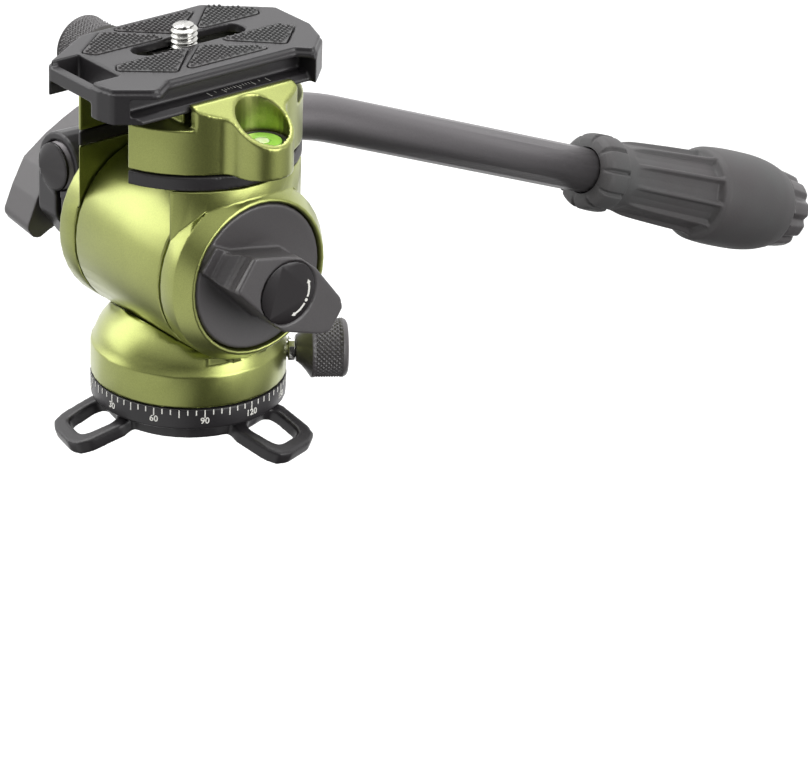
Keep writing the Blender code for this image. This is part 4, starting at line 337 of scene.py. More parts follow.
def make_materials(colours):
    """One material for each slot of the record, one for the gloss label and one for the printed marks."""
    return {
        # Bead-blasted, dyed and sealed aluminium: a satin metal whose fine blast grain sparkles a little
        "green_anodised": surface("anodised_aluminium_green", colours.green, colours.green_deep,
                                  metallic=0.94, roughness=0.34, grain=0.28 * MM, depth=0.008 * MM,
                                  patches=25 * MM, speckle=0.14, Coat_Weight=0.7, Coat_Roughness=0.30),
        # Black hard-anodised aluminium: the dye hides the metal, so it is a dark satin with soft highlights
        "black_anodised": surface("anodised_aluminium_black", colours.black_metal, colours.black_metal,
                                  roughness=0.36, grain=0.35 * MM, depth=0.006 * MM, patches=22 * MM,
                                  speckle=0.12),
        # Coated aluminium tube: a satin coat with metal in it, long soft highlights and faint orange peel
        "black_tube": surface("powder_coated_tube", colours.tube, colours.tube, metallic=0.75,
                              roughness=0.42, grain=0.50 * MM, depth=0.012 * MM, patches=40 * MM,
                              speckle=0.08),
        # Glass-filled nylon from a spark-eroded mould: satin highlights over a fine even texture
        "black_polymer": surface("moulded_nylon_black", colours.nylon, colours.nylon, roughness=0.42,
                                 grain=0.40 * MM, depth=0.014 * MM, patches=20 * MM, speckle=0.12,
                                 Specular_IOR_Level=0.8),
        # Moulded elastomer: matt, and drifting to the nylon's tone where it is handled
        "black_rubber": surface("moulded_rubber_black", colours.rubber, colours.nylon, roughness=0.60,
                                grain=0.45 * MM, depth=0.025 * MM, patches=15 * MM, speckle=0.12),
        # Turned stainless steel: bright, with fine tool marks
        "bright_steel": surface("turned_steel", colours.steel, colours.steel, metallic=1.0, roughness=0.22,
                                grain=0.25 * MM, depth=0.004 * MM),
        # Turned tin bronze: warm metal with a soft sheen
        "bearing_bronze": surface("turned_bronze", colours.bronze, colours.bronze, metallic=1.0,
                                  roughness=0.35, grain=0.30 * MM, depth=0.005 * MM),
        # Moulded acetal discs: smooth, slightly waxy white
        "drag_polymer": surface("moulded_acetal", colours.acetal, colours.acetal, roughness=0.40,
                                grain=0.40 * MM, depth=0.004 * MM),
        # Liquid behind a clear acrylic lens, under a polished surface, with a painted glow: it emits its own
        # colour
        "level_liquid": surface("level_liquid_green_painted_glow", colours.liquid, colours.liquid, roughness=0.10,
                                grain=2.0 * MM, depth=0.001 * MM, patches=6 * MM, speckle=0.05,
                                Coat_Weight=1.0, Coat_Roughness=0.03,
                                # Painted glow: an emission in the liquid's colour, though the liquid is no
                                # lamp
                                Emission_Color=opaque(colours.liquid), Emission_Strength=0.45),
        # Air under the lens: pale and glassy
        "level_gas": surface("level_bubble_air", colours.bubble, colours.bubble_pale, roughness=0.05,
                             grain=1.0 * MM, depth=0.001 * MM, patches=3 * MM, Coat_Weight=1.0),
        # Polyester label under a gloss film: deep black with clear highlights
        "label": surface("gloss_label_black", colours.label, colours.label, roughness=0.22,
                         grain=0.60 * MM, depth=0.001 * MM, patches=10 * MM, speckle=0.03),
        # Screen-printed epoxy ink: opaque and slightly chalky
        "ink": surface("printed_ink_white", colours.ink, colours.ink, roughness=0.55, grain=0.20 * MM,
                       depth=0.003 * MM),
    }


MATERIALS = {}


def finished(name, shape, body, slot, stands_for=(), edge=0.0, sharp=30.0, material=None):
    """Turns a bmesh into a piece that rides on its body, with smooth shading and softened edges."""
    mesh = bpy.data.meshes.new(name)
    shape.to_mesh(mesh)
    shape.free()
    mesh.shade_smooth()
    mesh.set_sharp_from_angle(angle=math.radians(sharp))
    mesh.materials.append(MATERIALS[material or slot])
    piece = bpy.data.objects.new(name, mesh)
    bpy.context.scene.collection.objects.link(piece)
    if edge > 0.0:
        bevel = piece.modifiers.new("soft_edges", "BEVEL")
        bevel.width = edge
        bevel.segments = 2
        bevel.limit_method = "ANGLE"
        bevel.angle_limit = math.radians(sharp)
        bevel.use_clamp_overlap = False
        bevel.harden_normals = True
    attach(piece, body)
    if stands_for:
        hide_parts(*stands_for)
    return piece


def merged_copy(node):
    """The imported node's own shape with its loose triangles joined."""
    shape = bmesh.new()
    shape.from_mesh(NODES[node].data)
    bmesh.ops.remove_doubles(shape, verts=shape.verts, dist=MERGE_DISTANCE)
    return shape


def dressed(node, edge, sharp=30.0):
    """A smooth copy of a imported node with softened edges, standing for it."""
    return finished(node + "_finish", merged_copy(node), BODY_OF[node], SLOT_OF[node], (node,), edge, sharp)


def labelled(node, edge):
    """A dressed node in the label's gloss black."""
    piece = dressed(node, edge)
    piece.data.materials[0] = MATERIALS["label"]
    return piece


def moulded(node, voxel=0.30 * MM, rounds=5):
    """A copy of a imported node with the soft, evenly rounded edges of a moulding or a tumbled casting."""
    piece = finished(node + "_moulded", merged_copy(node), BODY_OF[node], SLOT_OF[node], (node,))
    skin = piece.modifiers.new("skin", "REMESH")
    skin.mode = "VOXEL"
    skin.voxel_size = voxel
    skin.use_smooth_shade = True
    soft = piece.modifiers.new("soft_edges", "SMOOTH")
    soft.factor = 0.5
    soft.iterations = rounds
    return piece


def rounded_wall(piece, radius, flat):
    """Fixes a piece's softened shape and moves the flats of its upright wall out to the true round."""
    softened = piece.evaluated_get(bpy.context.evaluated_depsgraph_get())
    mesh = bpy.data.meshes.new_from_object(softened)
    piece.modifiers.clear()
    piece.data = mesh
    for point in mesh.vertices:
        reach = point.co.xy.length
        if radius - flat < reach < radius:
            point.co.xy *= radius / reach
    return piece


def spun(profile, steps, wave=None):
    """A closed solid of (along, radius) points turned about local Z.

    wave(angle, along, radius) gives the radius where the surface isn't round.
    """
    shape = bmesh.new()
    corners = [shape.verts.new((radius, 0.0, along)) for along, radius in profile]
    edges = [shape.edges.new(pair) for pair in zip(corners, corners[1:])]
    bmesh.ops.spin(shape, geom=corners + edges, cent=(0.0, 0.0, 0.0), axis=UP, angle=math.tau, steps=steps,
                   use_merge=True)
    bmesh.ops.remove_doubles(shape, verts=shape.verts, dist=MERGE_DISTANCE)
    bmesh.ops.recalc_face_normals(shape, faces=shape.faces)
    if wave:
        for point in shape.verts:
            radius = math.hypot(point.co.x, point.co.y)
            if radius > 0.0:
                angle = math.atan2(point.co.y, point.co.x)
                point.co.xy *= wave(angle, point.co.z, radius) / radius
    return shape


def facing(origin, along, sideways):
    """The placement whose local Z points along a direction and whose local X points sideways."""
    z_axis = Vector(along).normalized()
    y_axis = z_axis.cross(Vector(sideways)).normalized()
    x_axis = y_axis.cross(z_axis)
    turn = Matrix((x_axis, y_axis, z_axis)).transposed().to_4x4()
    return Matrix.Translation(Vector(origin)) @ turn


def on_circle(radius, angle):
    return (radius * math.cos(angle), radius * math.sin(angle))


def toward(azimuth, elevation):
    """The direction out from the object, in degrees round from the front towards +X and degrees up."""
    around, up = math.radians(azimuth), math.radians(elevation)
    return Vector((math.sin(around) * math.cos(up), -math.cos(around) * math.cos(up), math.sin(up)))


def smooth_step(start, end, value):
    """0 before start, 1 after end, and a smooth rise between; the ends may be given the other way round."""
    share = min(1.0, max(0.0, (value - start) / (end - start)))
    return share * share * (3 - 2 * share)


def fine_profile(corners, step):
    """A turned profile with points every step or so, on a curve through its corner points."""
    points = []
    for index in range(len(corners) - 1):
        around = [Vector(corners[max(0, min(len(corners) - 1, index + shift))]) for shift in (-1, 0, 1, 2)]
        limit = (around[2] - around[1]).length
        leaving = (around[2] - around[0]) / 2
        arriving = (around[3] - around[1]) / 2
        leaving *= min(1.0, limit / leaving.length)
        arriving *= min(1.0, limit / arriving.length)
        count = max(1, round(limit / step))
        for number in range(count):
            t = number / count
            spot = around[1] * (2 * t ** 3 - 3 * t ** 2 + 1)
            spot += leaving * (t ** 3 - 2 * t ** 2 + t)
            spot += around[2] * (3 * t ** 2 - 2 * t ** 3)
            spot += arriving * (t ** 3 - t ** 2)
            points.append(tuple(spot))
    return points + [corners[-1]]


def steps_between(start, end, count):
    return [start + (end - start) * index / count for index in range(count + 1)]


def diamond_knurl(radius, start, end, spacing, depth):
    """A wave for spun() with raised diamonds between start and end, and the steps that it needs."""
    around = round(math.tau * radius / spacing)

    def wave(angle, along, reach):
        if not start <= along <= end or reach < radius - depth / 2:
            return reach
        turn = angle * around / math.tau
        rise = along / spacing
        grooves = max(abs((turn + rise) % 1.0 - 0.5), abs((turn - rise) % 1.0 - 0.5))
        fade = min(1.0, (along - start) / (spacing / 2), (end - along) / (spacing / 2))
        return reach - depth * 2 * grooves * fade
    return wave, STEPS_PER_DIAMOND * around


def block(shape, centre, size, turn=0.0):
    """Adds a small box to a bmesh, turned about Z."""
    place = Matrix.Translation(Vector(centre)) @ Matrix.Rotation(turn, 4, "Z")
    bmesh.ops.create_cube(shape, size=1.0, matrix=place @ Matrix.Diagonal((*size, 1.0)))


def slab(shape, outline, thickness, place):
    """Adds a closed plate: a flat outline, given anticlockwise, raised by its thickness."""
    corners = [shape.verts.new((x, y, 0.0)) for x, y in outline]
    face = shape.faces.new(corners)
    raised = bmesh.ops.extrude_face_region(shape, geom=[face])["geom"]
    top = [item for item in raised if isinstance(item, bmesh.types.BMVert)]
    bmesh.ops.translate(shape, verts=top, vec=(0.0, 0.0, thickness))
    bmesh.ops.transform(shape, matrix=place, verts=corners + top)


def inside(rim, spot, margin):
    """Whether a spot lies within the sides of an outline and at least margin from each of them."""
    within = False
    for start, end in rim:
        if (start.y > spot.y) != (end.y > spot.y):
            if spot.x < start.x + (spot.y - start.y) / (end.y - start.y) * (end.x - start.x):
                within = not within
        side = end - start
        share = min(1.0, max(0.0, (spot - start).dot(side) / side.length_squared))
        if (start + side * share - spot).length < margin:
            return False
    return within


def arrow_outline(middle, half, start, end):
    """A curved band about the centre that ends in a point, anticlockwise or clockwise."""
    sweep = end - start
    neck = end - math.copysign(ARROW_HEAD_LENGTH, sweep)
    angles = steps_between(start, neck, ARROW_STEPS)
    outer = [on_circle(middle + half, angle) for angle in angles]
    inner = [on_circle(middle - half, angle) for angle in reversed(angles)]
    flare = [on_circle(middle + ARROW_HEAD_FLARE * half, neck), on_circle(middle, end),
             on_circle(middle - ARROW_HEAD_FLARE * half, neck)]
    outline = outer + flare + inner
    return outline if sweep > 0.0 else list(reversed(outline))


class FluidHeadOperator:
    bl_options = {"REGISTER", "UNDO"}

    @property
    def sizes(self):
        return bpy.context.scene.fluid_head_sizes


class FLUIDHEAD_OT_frame_finish(FluidHeadOperator, bpy.types.Operator):
    """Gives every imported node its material"""
    bl_idname = "fluid_head.frame_finish"
    bl_label = "Frame finishes"

    def execute(self, context):
        MATERIALS.update(make_materials(context.scene.fluid_head_colours))
        for name, node in NODES.items():
            node.data.materials.clear()
            node.data.materials.append(MATERIALS[SLOT_OF[name]])
        return {"FINISHED"}


class FLUIDHEAD_OT_machined_body(FluidHeadOperator, bpy.types.Operator):
    """Softens the edges of the green and black machined pieces"""
    bl_idname = "fluid_head.machined_body"
    bl_label = "Machined body"

    def execute(self, context):
        for node in ("pan_housing", "drag_barrel", "left_cheek", "right_cheek", "clamp_jaw"):
            dressed(node, self.sizes.edge)
        for node in ("clamp_body", "frame_spacer"):
            rounded_wall(moulded(node, MACHINED_VOXEL, MACHINED_ROUNDS), COLUMN_RADIUS, COLUMN_FLAT)
        return {"FINISHED"}


class FLUIDHEAD_OT_base(FluidHeadOperator, bpy.types.Operator):
    """Makes the strap plate and the dial, with its ticks and numbers"""
    bl_idname = "fluid_head.base"
    bl_label = "Base and dial"

    def execute(self, context):
        sizes = self.sizes
        moulded("strap_loop_plate", rounds=LOOP_ROUNDS)
        dressed("pan_dial", sizes.edge)
        marks = bmesh.new()
        for index in range(DIAL_TICKS):
            angle = DIAL_ZERO + math.tau * index / DIAL_TICKS
            length = sizes.long_tick if index % 3 == 0 else sizes.tick
            centre = (*on_circle(DIAL_RADIUS, angle), DIAL_TICK_TOP - length / 2)
            block(marks, centre, (PRINT_THICKNESS * 2, DIAL_TICK_WIDTH, length), angle)
        finished("dial_ticks", marks, "base", "black_anodised", material="ink")
        self.numbers(sizes.number)
        return {"FINISHED"}

    def numbers(self, size):
        """The degrees, bent round the dial's wall."""
        digits = bmesh.new()
        for value in range(0, 360, NUMBER_STEP):
            text = bpy.data.curves.new("dial_number", "FONT")
            text.body = str(value)
            text.size = size
            text.align_x = "CENTER"
            text.align_y = "CENTER"
            text.extrude = PRINT_THICKNESS
            text.offset = NUMBER_BOLDNESS
            text.resolution_u = 3
            holder = bpy.data.objects.new("dial_number", text)
            bpy.context.scene.collection.objects.link(holder)
            flat = bpy.data.meshes.new_from_object(holder)
            middle = DIAL_ZERO + math.radians(value)
            for point in flat.vertices:
                wall = on_circle(DIAL_RADIUS + point.co.z, middle + point.co.x / DIAL_RADIUS)
                point.co = (*wall, NUMBER_MIDDLE + point.co.y)
            digits.from_mesh(flat)
            bpy.data.objects.remove(holder)
            bpy.data.curves.remove(text)
            bpy.data.meshes.remove(flat)
        bmesh.ops.remove_doubles(digits, verts=digits.verts, dist=MERGE_DISTANCE)
        bmesh.ops.recalc_face_normals(digits, faces=digits.faces)
        finished("dial_numbers", digits, "base", "black_anodised", material="ink")


class FLUIDHEAD_OT_knurled_knobs(FluidHeadOperator, bpy.types.Operator):
    """Turns the pan lock and the clamp knob with their diamond knurls"""
    bl_idname = "fluid_head.knurled_knobs"
    bl_label = "Knurled knobs"

    def execute(self, context):
        sizes = self.sizes
        self.knob("pan_lock_knob", sizes.knurl, sizes.knurl_depth, **PAN_KNOB)
        dressed("pan_lock_screw", sizes.edge / 2)
        self.knob("clamp_knob", sizes.knurl * CLAMP_KNURL_SHARE, sizes.knurl_depth, **CLAMP_KNOB)
        return {"FINISHED"}

    def knob(self, node, spacing, depth, turn, height, seat, radius, grip, rows, neck, face):
        """A turned head with a knurled grip between its neck and face, pointing out from the upright axis."""
        start, end = seat + grip[0], seat + grip[1]
        profile = [(seat + along * MM, reach * MM) for along, reach in neck]
        profile += [(along, radius) for along in steps_between(start, end, rows)]
        profile += [(seat + along * MM, reach * MM) for along, reach in face]
        wave, steps = diamond_knurl(radius, start, end, spacing, depth)
        head = spun(profile, steps, wave)
        place = facing((0.0, 0.0, height), (*on_circle(1.0, math.radians(turn)), 0.0), UP)
        bmesh.ops.transform(head, matrix=place, verts=head.verts)
        finished(node + "_knurled", head, BODY_OF[node], SLOT_OF[node], (node,), sharp=50.0)


class FLUIDHEAD_OT_plate(FluidHeadOperator, bpy.types.Operator):
    """Makes the quick release plate, its bumped pads and the threaded camera screw"""
    bl_idname = "fluid_head.plate"
    bl_label = "Quick release plate"

    def execute(self, context):
        sizes = self.sizes
        moulded("quick_release_plate", PLATE_VOXEL, PLATE_ROUNDS)
        dressed("screw_carriage", sizes.edge / 2)
        self.ruler()
        for side in ("left", "right"):
            for place in ("front", "middle", "back"):
                self.pad("rubber_pad_%s_%s" % (place, side), sizes.pad_bump)
        self.camera_screw(sizes.thread)
        return {"FINISHED"}

    def pad(self, node, spacing):
        """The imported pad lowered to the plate's face, with staggered rows of bumps up to its full height."""
        shape = merged_copy(node)
        top = max(point.co.z for point in shape.verts)
        relief = top - PLATE_TOP
        crown = {face for face in shape.faces if face.normal.z > 0.9}
        rim = [[point.co.xy for point in edge.verts] for edge in shape.edges
               if sum(face in crown for face in edge.link_faces) == 1]
        ends = [end for side in rim for end in side]
        low = Vector((min(end.x for end in ends), min(end.y for end in ends)))
        high = Vector((max(end.x for end in ends), max(end.y for end in ends)))
        for point in shape.verts:
            if point.co.z > top - relief / 2:
                point.co.z -= relief
        pitch = spacing * math.sqrt(3) / 2
        middle = top - relief * BUMP_DEPTH_SHARE / 2
        for row in range(round((high.y - low.y) / pitch) + 1):
            y = low.y + row * pitch
            x = low.x + (spacing / 2 if row % 2 else 0.0)
            while x < high.x:
                if inside(rim, Vector((x, y)), spacing * BUMP_MARGIN_SHARE):
                    bmesh.ops.create_cone(shape, cap_ends=True, segments=BUMP_SIDES,
                                          radius1=spacing * BUMP_FOOT_SHARE,
                                          radius2=spacing * BUMP_CROWN_SHARE, depth=relief * BUMP_DEPTH_SHARE,
                                          matrix=Matrix.Translation((x, y, middle)))
                x += spacing
        finished(node + "_moulded", shape, BODY_OF[node], SLOT_OF[node], (node,), sharp=25.0)

    def ruler(self):
        """White marks on the plate's ledge beside the fixed jaw: five long ones and short ones between."""
        marks = bmesh.new()
        places = [(step, RULER_LONG) for step in (-2, -1, 0, 1, 2)]
        places += [(side * fifth / 5, RULER_SHORT) for side in (-1, 1) for fifth in (1, 2, 3, 4)]
        places += [(-1.5, RULER_SHORT), (1.5, RULER_SHORT)]
        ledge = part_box("quick_release_plate")[0].z + LEDGE_HEIGHT
        for steps, length in places:
            centre = (RULER_START_X + length / 2, RULER_MIDDLE_Y + RULER_STEP * steps, ledge)
            block(marks, centre, (length, RULER_LINE, PRINT_THICKNESS * 2))
        finished("plate_ruler", marks, "plate", "black_anodised", material="ink")

    def camera_screw(self, pitch):
        """The camera screw with its key, head and a ridged thread."""
        low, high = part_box("camera_screw")
        shoulder = low.z + SCREW_HEAD_HEIGHT
        thread_start = shoulder + SCREW_NECK
        thread_end = high.z - SCREW_TIP
        key_floor = low.z + SCREW_KEY_DEPTH
        profile = [(key_floor, 0.0), (key_floor, SCREW_KEY_RADIUS), (low.z, SCREW_KEY_RADIUS),
                   (low.z, SCREW_HEAD_RADIUS - SCREW_HEAD_CHAMFER),
                   (low.z + SCREW_HEAD_CHAMFER, SCREW_HEAD_RADIUS), (shoulder, SCREW_HEAD_RADIUS),
                   (shoulder, SCREW_RADIUS - THREAD_DEPTH)]
        profile += [(along, SCREW_RADIUS) for along in steps_between(thread_start, thread_end, THREAD_ROWS)]
        profile += [(high.z, SCREW_RADIUS - SCREW_TIP_CHAMFER), (high.z, 0.0)]

        def thread(angle, along, reach):
            """Cuts a spiral groove with a flat root, and narrows the last half turn below the tip."""
            if abs(reach - SCREW_RADIUS) > MERGE_DISTANCE:
                return reach
            turn = (along / pitch - angle / math.tau) % 1.0
            groove = min(1.0, max(0.0, THREAD_FLANK_SLOPE * abs(turn - 0.5) - THREAD_CREST))
            start = min(1.0, (thread_end - along) / (pitch / 2))
            return reach - THREAD_DEPTH * groove - THREAD_DEPTH * THREAD_RUN_OUT_SHARE * (1 - start)
        shape = spun(profile, THREAD_STEPS, thread)
        centre = (low + high) / 2
        bmesh.ops.translate(shape, verts=shape.verts, vec=(centre.x, centre.y, 0.0))
        finished("camera_screw_threaded", shape, "camera_screw", "bright_steel", ("camera_screw",),
                 sharp=60.0)


class FLUIDHEAD_OT_level(FluidHeadOperator, bpy.types.Operator):
    """Makes the bubble level"""
    bl_idname = "fluid_head.level"
    bl_label = "Bubble level"

    def execute(self, context):
        for node in ("level_cup", "level_vial", "level_bubble"):
            dressed(node, self.sizes.edge / 2)
        return {"FINISHED"}


class FLUIDHEAD_OT_tilt_lock(FluidHeadOperator, bpy.types.Operator):
    """Makes the tilt lock knob and the arrows on its face"""
    bl_idname = "fluid_head.tilt_lock"
    bl_label = "Tilt lock"

    def execute(self, context):
        moulded("tilt_lock_knob", TILT_KNOB_VOXEL)
        labelled("tilt_knob_label", self.sizes.edge / 2)
        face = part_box("tilt_knob_label")[1].x
        place = facing((face - PRINT_THICKNESS, TILT_AXIS.y, TILT_AXIS.z), RIGHT, BACK)
        marks = bmesh.new()
        for start, end in ARROW_SPANS:
            outline = arrow_outline(ARROW_RADIUS, ARROW_HALF_WIDTH, math.radians(start), math.radians(end))
            slab(marks, outline, 2 * PRINT_THICKNESS, place)
        dot = Matrix.Translation((*on_circle(ARROW_RADIUS, DOT_ANGLE), PRINT_THICKNESS))
        bmesh.ops.create_cone(marks, cap_ends=True, segments=DOT_SIDES, radius1=DOT_RADIUS,
                              radius2=DOT_RADIUS, depth=2 * PRINT_THICKNESS, matrix=place @ dot)
        bmesh.ops.recalc_face_normals(marks, faces=marks.faces)
        finished("tilt_knob_arrows", marks, "tilt_lock", "black_polymer", material="ink")
        return {"FINISHED"}


class FLUIDHEAD_OT_handle(FluidHeadOperator, bpy.types.Operator):
    """Makes the bent tube, the grip and the handle's lock knob"""
    bl_idname = "fluid_head.handle"
    bl_label = "Pan handle"

    def execute(self, context):
        dressed("handle_tube", edge=0.0, sharp=40.0)
        labelled("handle_end_plug", self.sizes.edge)
        moulded("handle_clamp", rounds=4)
        moulded("handle_lock_knob")
        self.grip()
        moulded("grip_end_cap", rounds=4)
        return {"FINISHED"}

    def grip(self):
        """The fluted rubber grip: ridges that follow its swelling outline, over a nearly straight floor."""
        flutes_start = GRIP_START + GRIP_LENGTH * FLUTES_START_SHARE
        flutes_end = GRIP_START + GRIP_LENGTH * FLUTES_END_SHARE
        collar_end = GRIP_START + GRIP_LENGTH * COLLAR_END_SHARE

        def flutes(angle, along, reach):
            """Notches the collar and cuts the flutes; phase is 0 in a flute's middle and 1 on a ridge's."""
            if reach < GRIP_BORE + 0.5 * MM:
                return reach
            phase = abs((angle * GRIP_RIDGES / math.tau) % 1.0 - 0.5) * 2
            if along < collar_end:
                return reach - COLLAR_NOTCH * smooth_step(*NOTCH_SIDE, phase)
            if not flutes_start < along < flutes_end:
                return reach
            share = (along - flutes_start) / (flutes_end - flutes_start)
            floor = GRIP_RADIUS * (FLUTE_FLOOR_SHARE + FLUTE_FLOOR_RISE_SHARE * share) + FLUTE_CROWN * phase
            fade = min(smooth_step(*FLUTE_START, share), smooth_step(*FLUTE_END, share))
            panel = smooth_step(*FLUTE_SIDE, phase)
            return reach - max(0.0, reach - floor) * panel * fade
        corners = [(GRIP_START + GRIP_LENGTH * along, GRIP_RADIUS * reach)
                   for along, reach in GRIP_OUTLINE_SHARES]
        blind = GRIP_START + GRIP_BORE_DEPTH
        profile = [(blind, 0.0), (blind, GRIP_BORE), (GRIP_START, GRIP_BORE)]
        profile += fine_profile(corners, GRIP_STEP) + [(GRIP_START + GRIP_LENGTH, 0.0)]
        shape = spun(profile, GRIP_RIDGES * STEPS_PER_RIDGE, flutes)
        place = facing(TUBE_BEND, (0.0, math.cos(GRIP_SLOPE), math.sin(GRIP_SLOPE)), RIGHT)
        bmesh.ops.transform(shape, matrix=place, verts=shape.verts)
        finished("handle_grip_fluted", shape, "handle", "black_rubber", ("handle_grip",), sharp=60.0)


class FLUIDHEAD_OT_stage(FluidHeadOperator, bpy.types.Operator):
    """Sets the floor, the soft studio lights and the camera"""
    bl_idname = "fluid_head.stage"
    bl_label = "Studio"

    def execute(self, context):
        self.floor(context.scene.fluid_head_colours.floor)
        self.world()
        for softbox in SOFTBOXES:
            self.softbox(**softbox)
        self.camera()
        context.scene.view_settings.view_transform = "Standard"
        return {"FINISHED"}

    def floor(self, colour):
        """White paper well below the object, hidden from diffuse and glossy rays."""
        shape = bmesh.new()
        bmesh.ops.create_grid(shape, x_segments=1, y_segments=1, size=FLOOR_SIZE,
                              matrix=Matrix.Translation((0.0, 0.0, CAD_BOX[0].z - FLOOR_DROP)))
        mesh = bpy.data.meshes.new("studio_floor")
        shape.to_mesh(mesh)
        shape.free()
        paper = bpy.data.materials.new("paper_backdrop")
        paper.use_nodes = True
        tree = paper.node_tree
        shader = tree.nodes["Principled BSDF"]
        place = add_node(tree, "TexCoord").outputs["Object"]
        fibre = add_node(tree, "TexNoise", {"Vector": place, "Scale": 1 / PAPER_FIBRE, "Detail": 2.0})
        relief = add_node(tree, "Bump", {"Height": fibre.outputs["Fac"], "Distance": PAPER_RELIEF})
        tree.links.new(relief.outputs["Normal"], shader.inputs["Normal"])
        shader.inputs["Base Color"].default_value = opaque(colour)
        shader.inputs["Roughness"].default_value = PAPER_ROUGHNESS
        rays = add_node(tree, "LightPath")
        glow = add_node(tree, "Emission", {"Color": WHITE, "Strength": PAPER_GLOW})
        share = add_node(tree, "Math", {0: rays.outputs["Is Camera Ray"], 1: PAPER_GLOW_SHARE},
                         operation="MULTIPLY")
        seen = add_node(tree, "MixShader", {"Fac": share.outputs["Value"], 1: shader.outputs["BSDF"],
                                            2: glow.outputs["Emission"]})
        output = next(item for item in tree.nodes if item.type == "OUTPUT_MATERIAL")
        tree.links.new(seen.outputs["Shader"], output.inputs["Surface"])
        mesh.materials.append(paper)
        floor = bpy.data.objects.new("studio_floor", mesh)
        floor.visible_diffuse = False
        floor.visible_glossy = False
        bpy.context.scene.collection.objects.link(floor)

    def world(self):
        """White for camera and transmission rays; a dark studio with soft white fields for the others."""
        world = bpy.data.worlds.new("studio")
        bpy.context.scene.world = world
        world.use_nodes = True
        tree = world.node_tree
        output = next(item for item in tree.nodes if item.type == "OUTPUT_WORLD")
        studio = next(item for item in tree.nodes if item.type == "BACKGROUND")
        place = add_node(tree, "TexCoord").outputs["Generated"]
        total = add_node(tree, "Math", {0: DARK_STUDIO, 1: 0.0}, operation="ADD").outputs["Value"]
        for field in WHITE_FIELDS:
            middle = toward(field["azimuth"], field["elevation"])
            near = add_node(tree, "VectorMath", {0: place, 1: middle}, operation="DOT_PRODUCT")
            lit = add_node(tree, "MapRange", {"Value": near.outputs["Value"],
                                              "From Min": math.cos(math.radians(field["edge"])),
                                              "From Max": math.cos(math.radians(field["full"])),
                                              "To Max": field["strength"]},
                           interpolation_type="SMOOTHSTEP")
            brighter = add_node(tree, "Math", {0: total, 1: lit.outputs["Result"]}, operation="MAXIMUM")
            total = brighter.outputs["Value"]
        tree.links.new(total, studio.inputs["Strength"])
        studio.inputs["Color"].default_value = WHITE
        white = add_node(tree, "Background", {"Color": WHITE, "Strength": 1.0})
        rays = add_node(tree, "LightPath")
        seen = add_node(tree, "Math", {0: rays.outputs["Is Camera Ray"],
                                       1: rays.outputs["Is Transmission Ray"]}, operation="MAXIMUM")
        shown = add_node(tree, "MixShader", {"Fac": seen.outputs["Value"], 1: studio.outputs["Background"],
                                             2: white.outputs["Background"]})
        tree.links.new(shown.outputs["Shader"], output.inputs["Surface"])

    def softbox(self, name, azimuth, elevation, distance, size, power):
        """A rectangular lamp that looks at the object from a direction."""
        data = bpy.data.lights.new(name, "AREA")
        data.shape = "RECTANGLE"
        data.size, data.size_y = size
        data.energy = power
        lamp = bpy.data.objects.new(name, data)
        outward = toward(azimuth, elevation)
        lamp.location = SOFTBOX_TARGET + outward * distance
        lamp.rotation_mode = "QUATERNION"
        lamp.rotation_quaternion = (-outward).to_track_quat("-Z", "Y")
        bpy.context.scene.collection.objects.link(lamp)

    def camera(self):
        """The camera fitted to the photograph: its place, direction, roll and focal length."""
        azimuth, roll = math.radians(CAMERA_AZIMUTH), math.radians(CAMERA_ROLL)
        forward = -toward(CAMERA_AZIMUTH, CAMERA_ELEVATION)
        level = Vector((math.cos(azimuth), math.sin(azimuth), 0.0))
        upright = level.cross(forward)
        right = level * math.cos(roll) + upright * math.sin(roll)
        up = upright * math.cos(roll) - level * math.sin(roll)
        data = bpy.data.cameras.new("photo_camera")
        data.sensor_fit = "HORIZONTAL"
        data.sensor_width = SENSOR_WIDTH
        data.lens = SENSOR_WIDTH * FOCAL_LENGTH_PIXELS / PHOTO_WIDTH_PIXELS
        data.clip_start = 0.01
        data.clip_end = 50.0
        camera = bpy.data.objects.new("photo_camera", data)
        turn = Matrix((right, up, -forward)).transposed().to_4x4()
        camera.matrix_world = Matrix.Translation(CAMERA_PLACE) @ turn
        bpy.context.scene.collection.objects.link(camera)
        bpy.context.scene.camera = camera


OPERATORS = (FLUIDHEAD_OT_frame_finish, FLUIDHEAD_OT_machined_body, FLUIDHEAD_OT_base,
             FLUIDHEAD_OT_knurled_knobs, FLUIDHEAD_OT_plate, FLUIDHEAD_OT_level, FLUIDHEAD_OT_tilt_lock,
             FLUIDHEAD_OT_handle, FLUIDHEAD_OT_stage)


class FLUIDHEAD_PT_panel(bpy.types.Panel):
    """Lists the fluid head's pieces, sizes and colours"""
    bl_idname = "FLUIDHEAD_PT_panel"
    bl_label = "Fluid video head"
    bl_space_type = "VIEW_3D"
    bl_region_type = "UI"
    bl_category = "Fluid head"

    def draw(self, context):
        for operator in OPERATORS:
            self.layout.operator(operator.bl_idname)
        for group in (context.scene.fluid_head_sizes, context.scene.fluid_head_colours):
            for name in group.__annotations__:
                self.layout.prop(group, name)


CLASSES = (FluidHeadColours, FluidHeadSizes, *OPERATORS, FLUIDHEAD_PT_panel)


def register():
    for item in CLASSES:
        bpy.utils.register_class(item)
    bpy.types.Scene.fluid_head_colours = bpy.props.PointerProperty(type=FluidHeadColours)
    bpy.types.Scene.fluid_head_sizes = bpy.props.PointerProperty(type=FluidHeadSizes)


def unregister():
    del bpy.types.Scene.fluid_head_sizes
    del bpy.types.Scene.fluid_head_colours
    for item in reversed(CLASSES):
        bpy.utils.unregister_class(item)


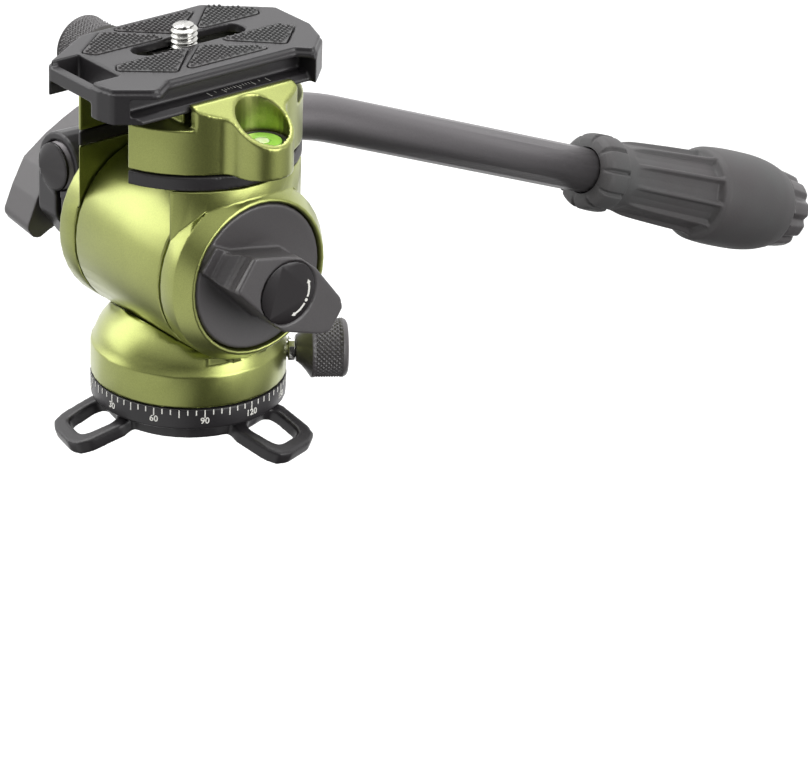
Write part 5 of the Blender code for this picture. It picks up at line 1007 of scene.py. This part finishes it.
def main():
    register()
    bpy.ops.fluid_head.frame_finish()
    bpy.ops.fluid_head.machined_body()
    bpy.ops.fluid_head.base()
    bpy.ops.fluid_head.knurled_knobs()
    bpy.ops.fluid_head.plate()
    bpy.ops.fluid_head.level()
    bpy.ops.fluid_head.tilt_lock()
    bpy.ops.fluid_head.handle()
    bpy.ops.fluid_head.stage()


if __name__ == "__main__":
    main()
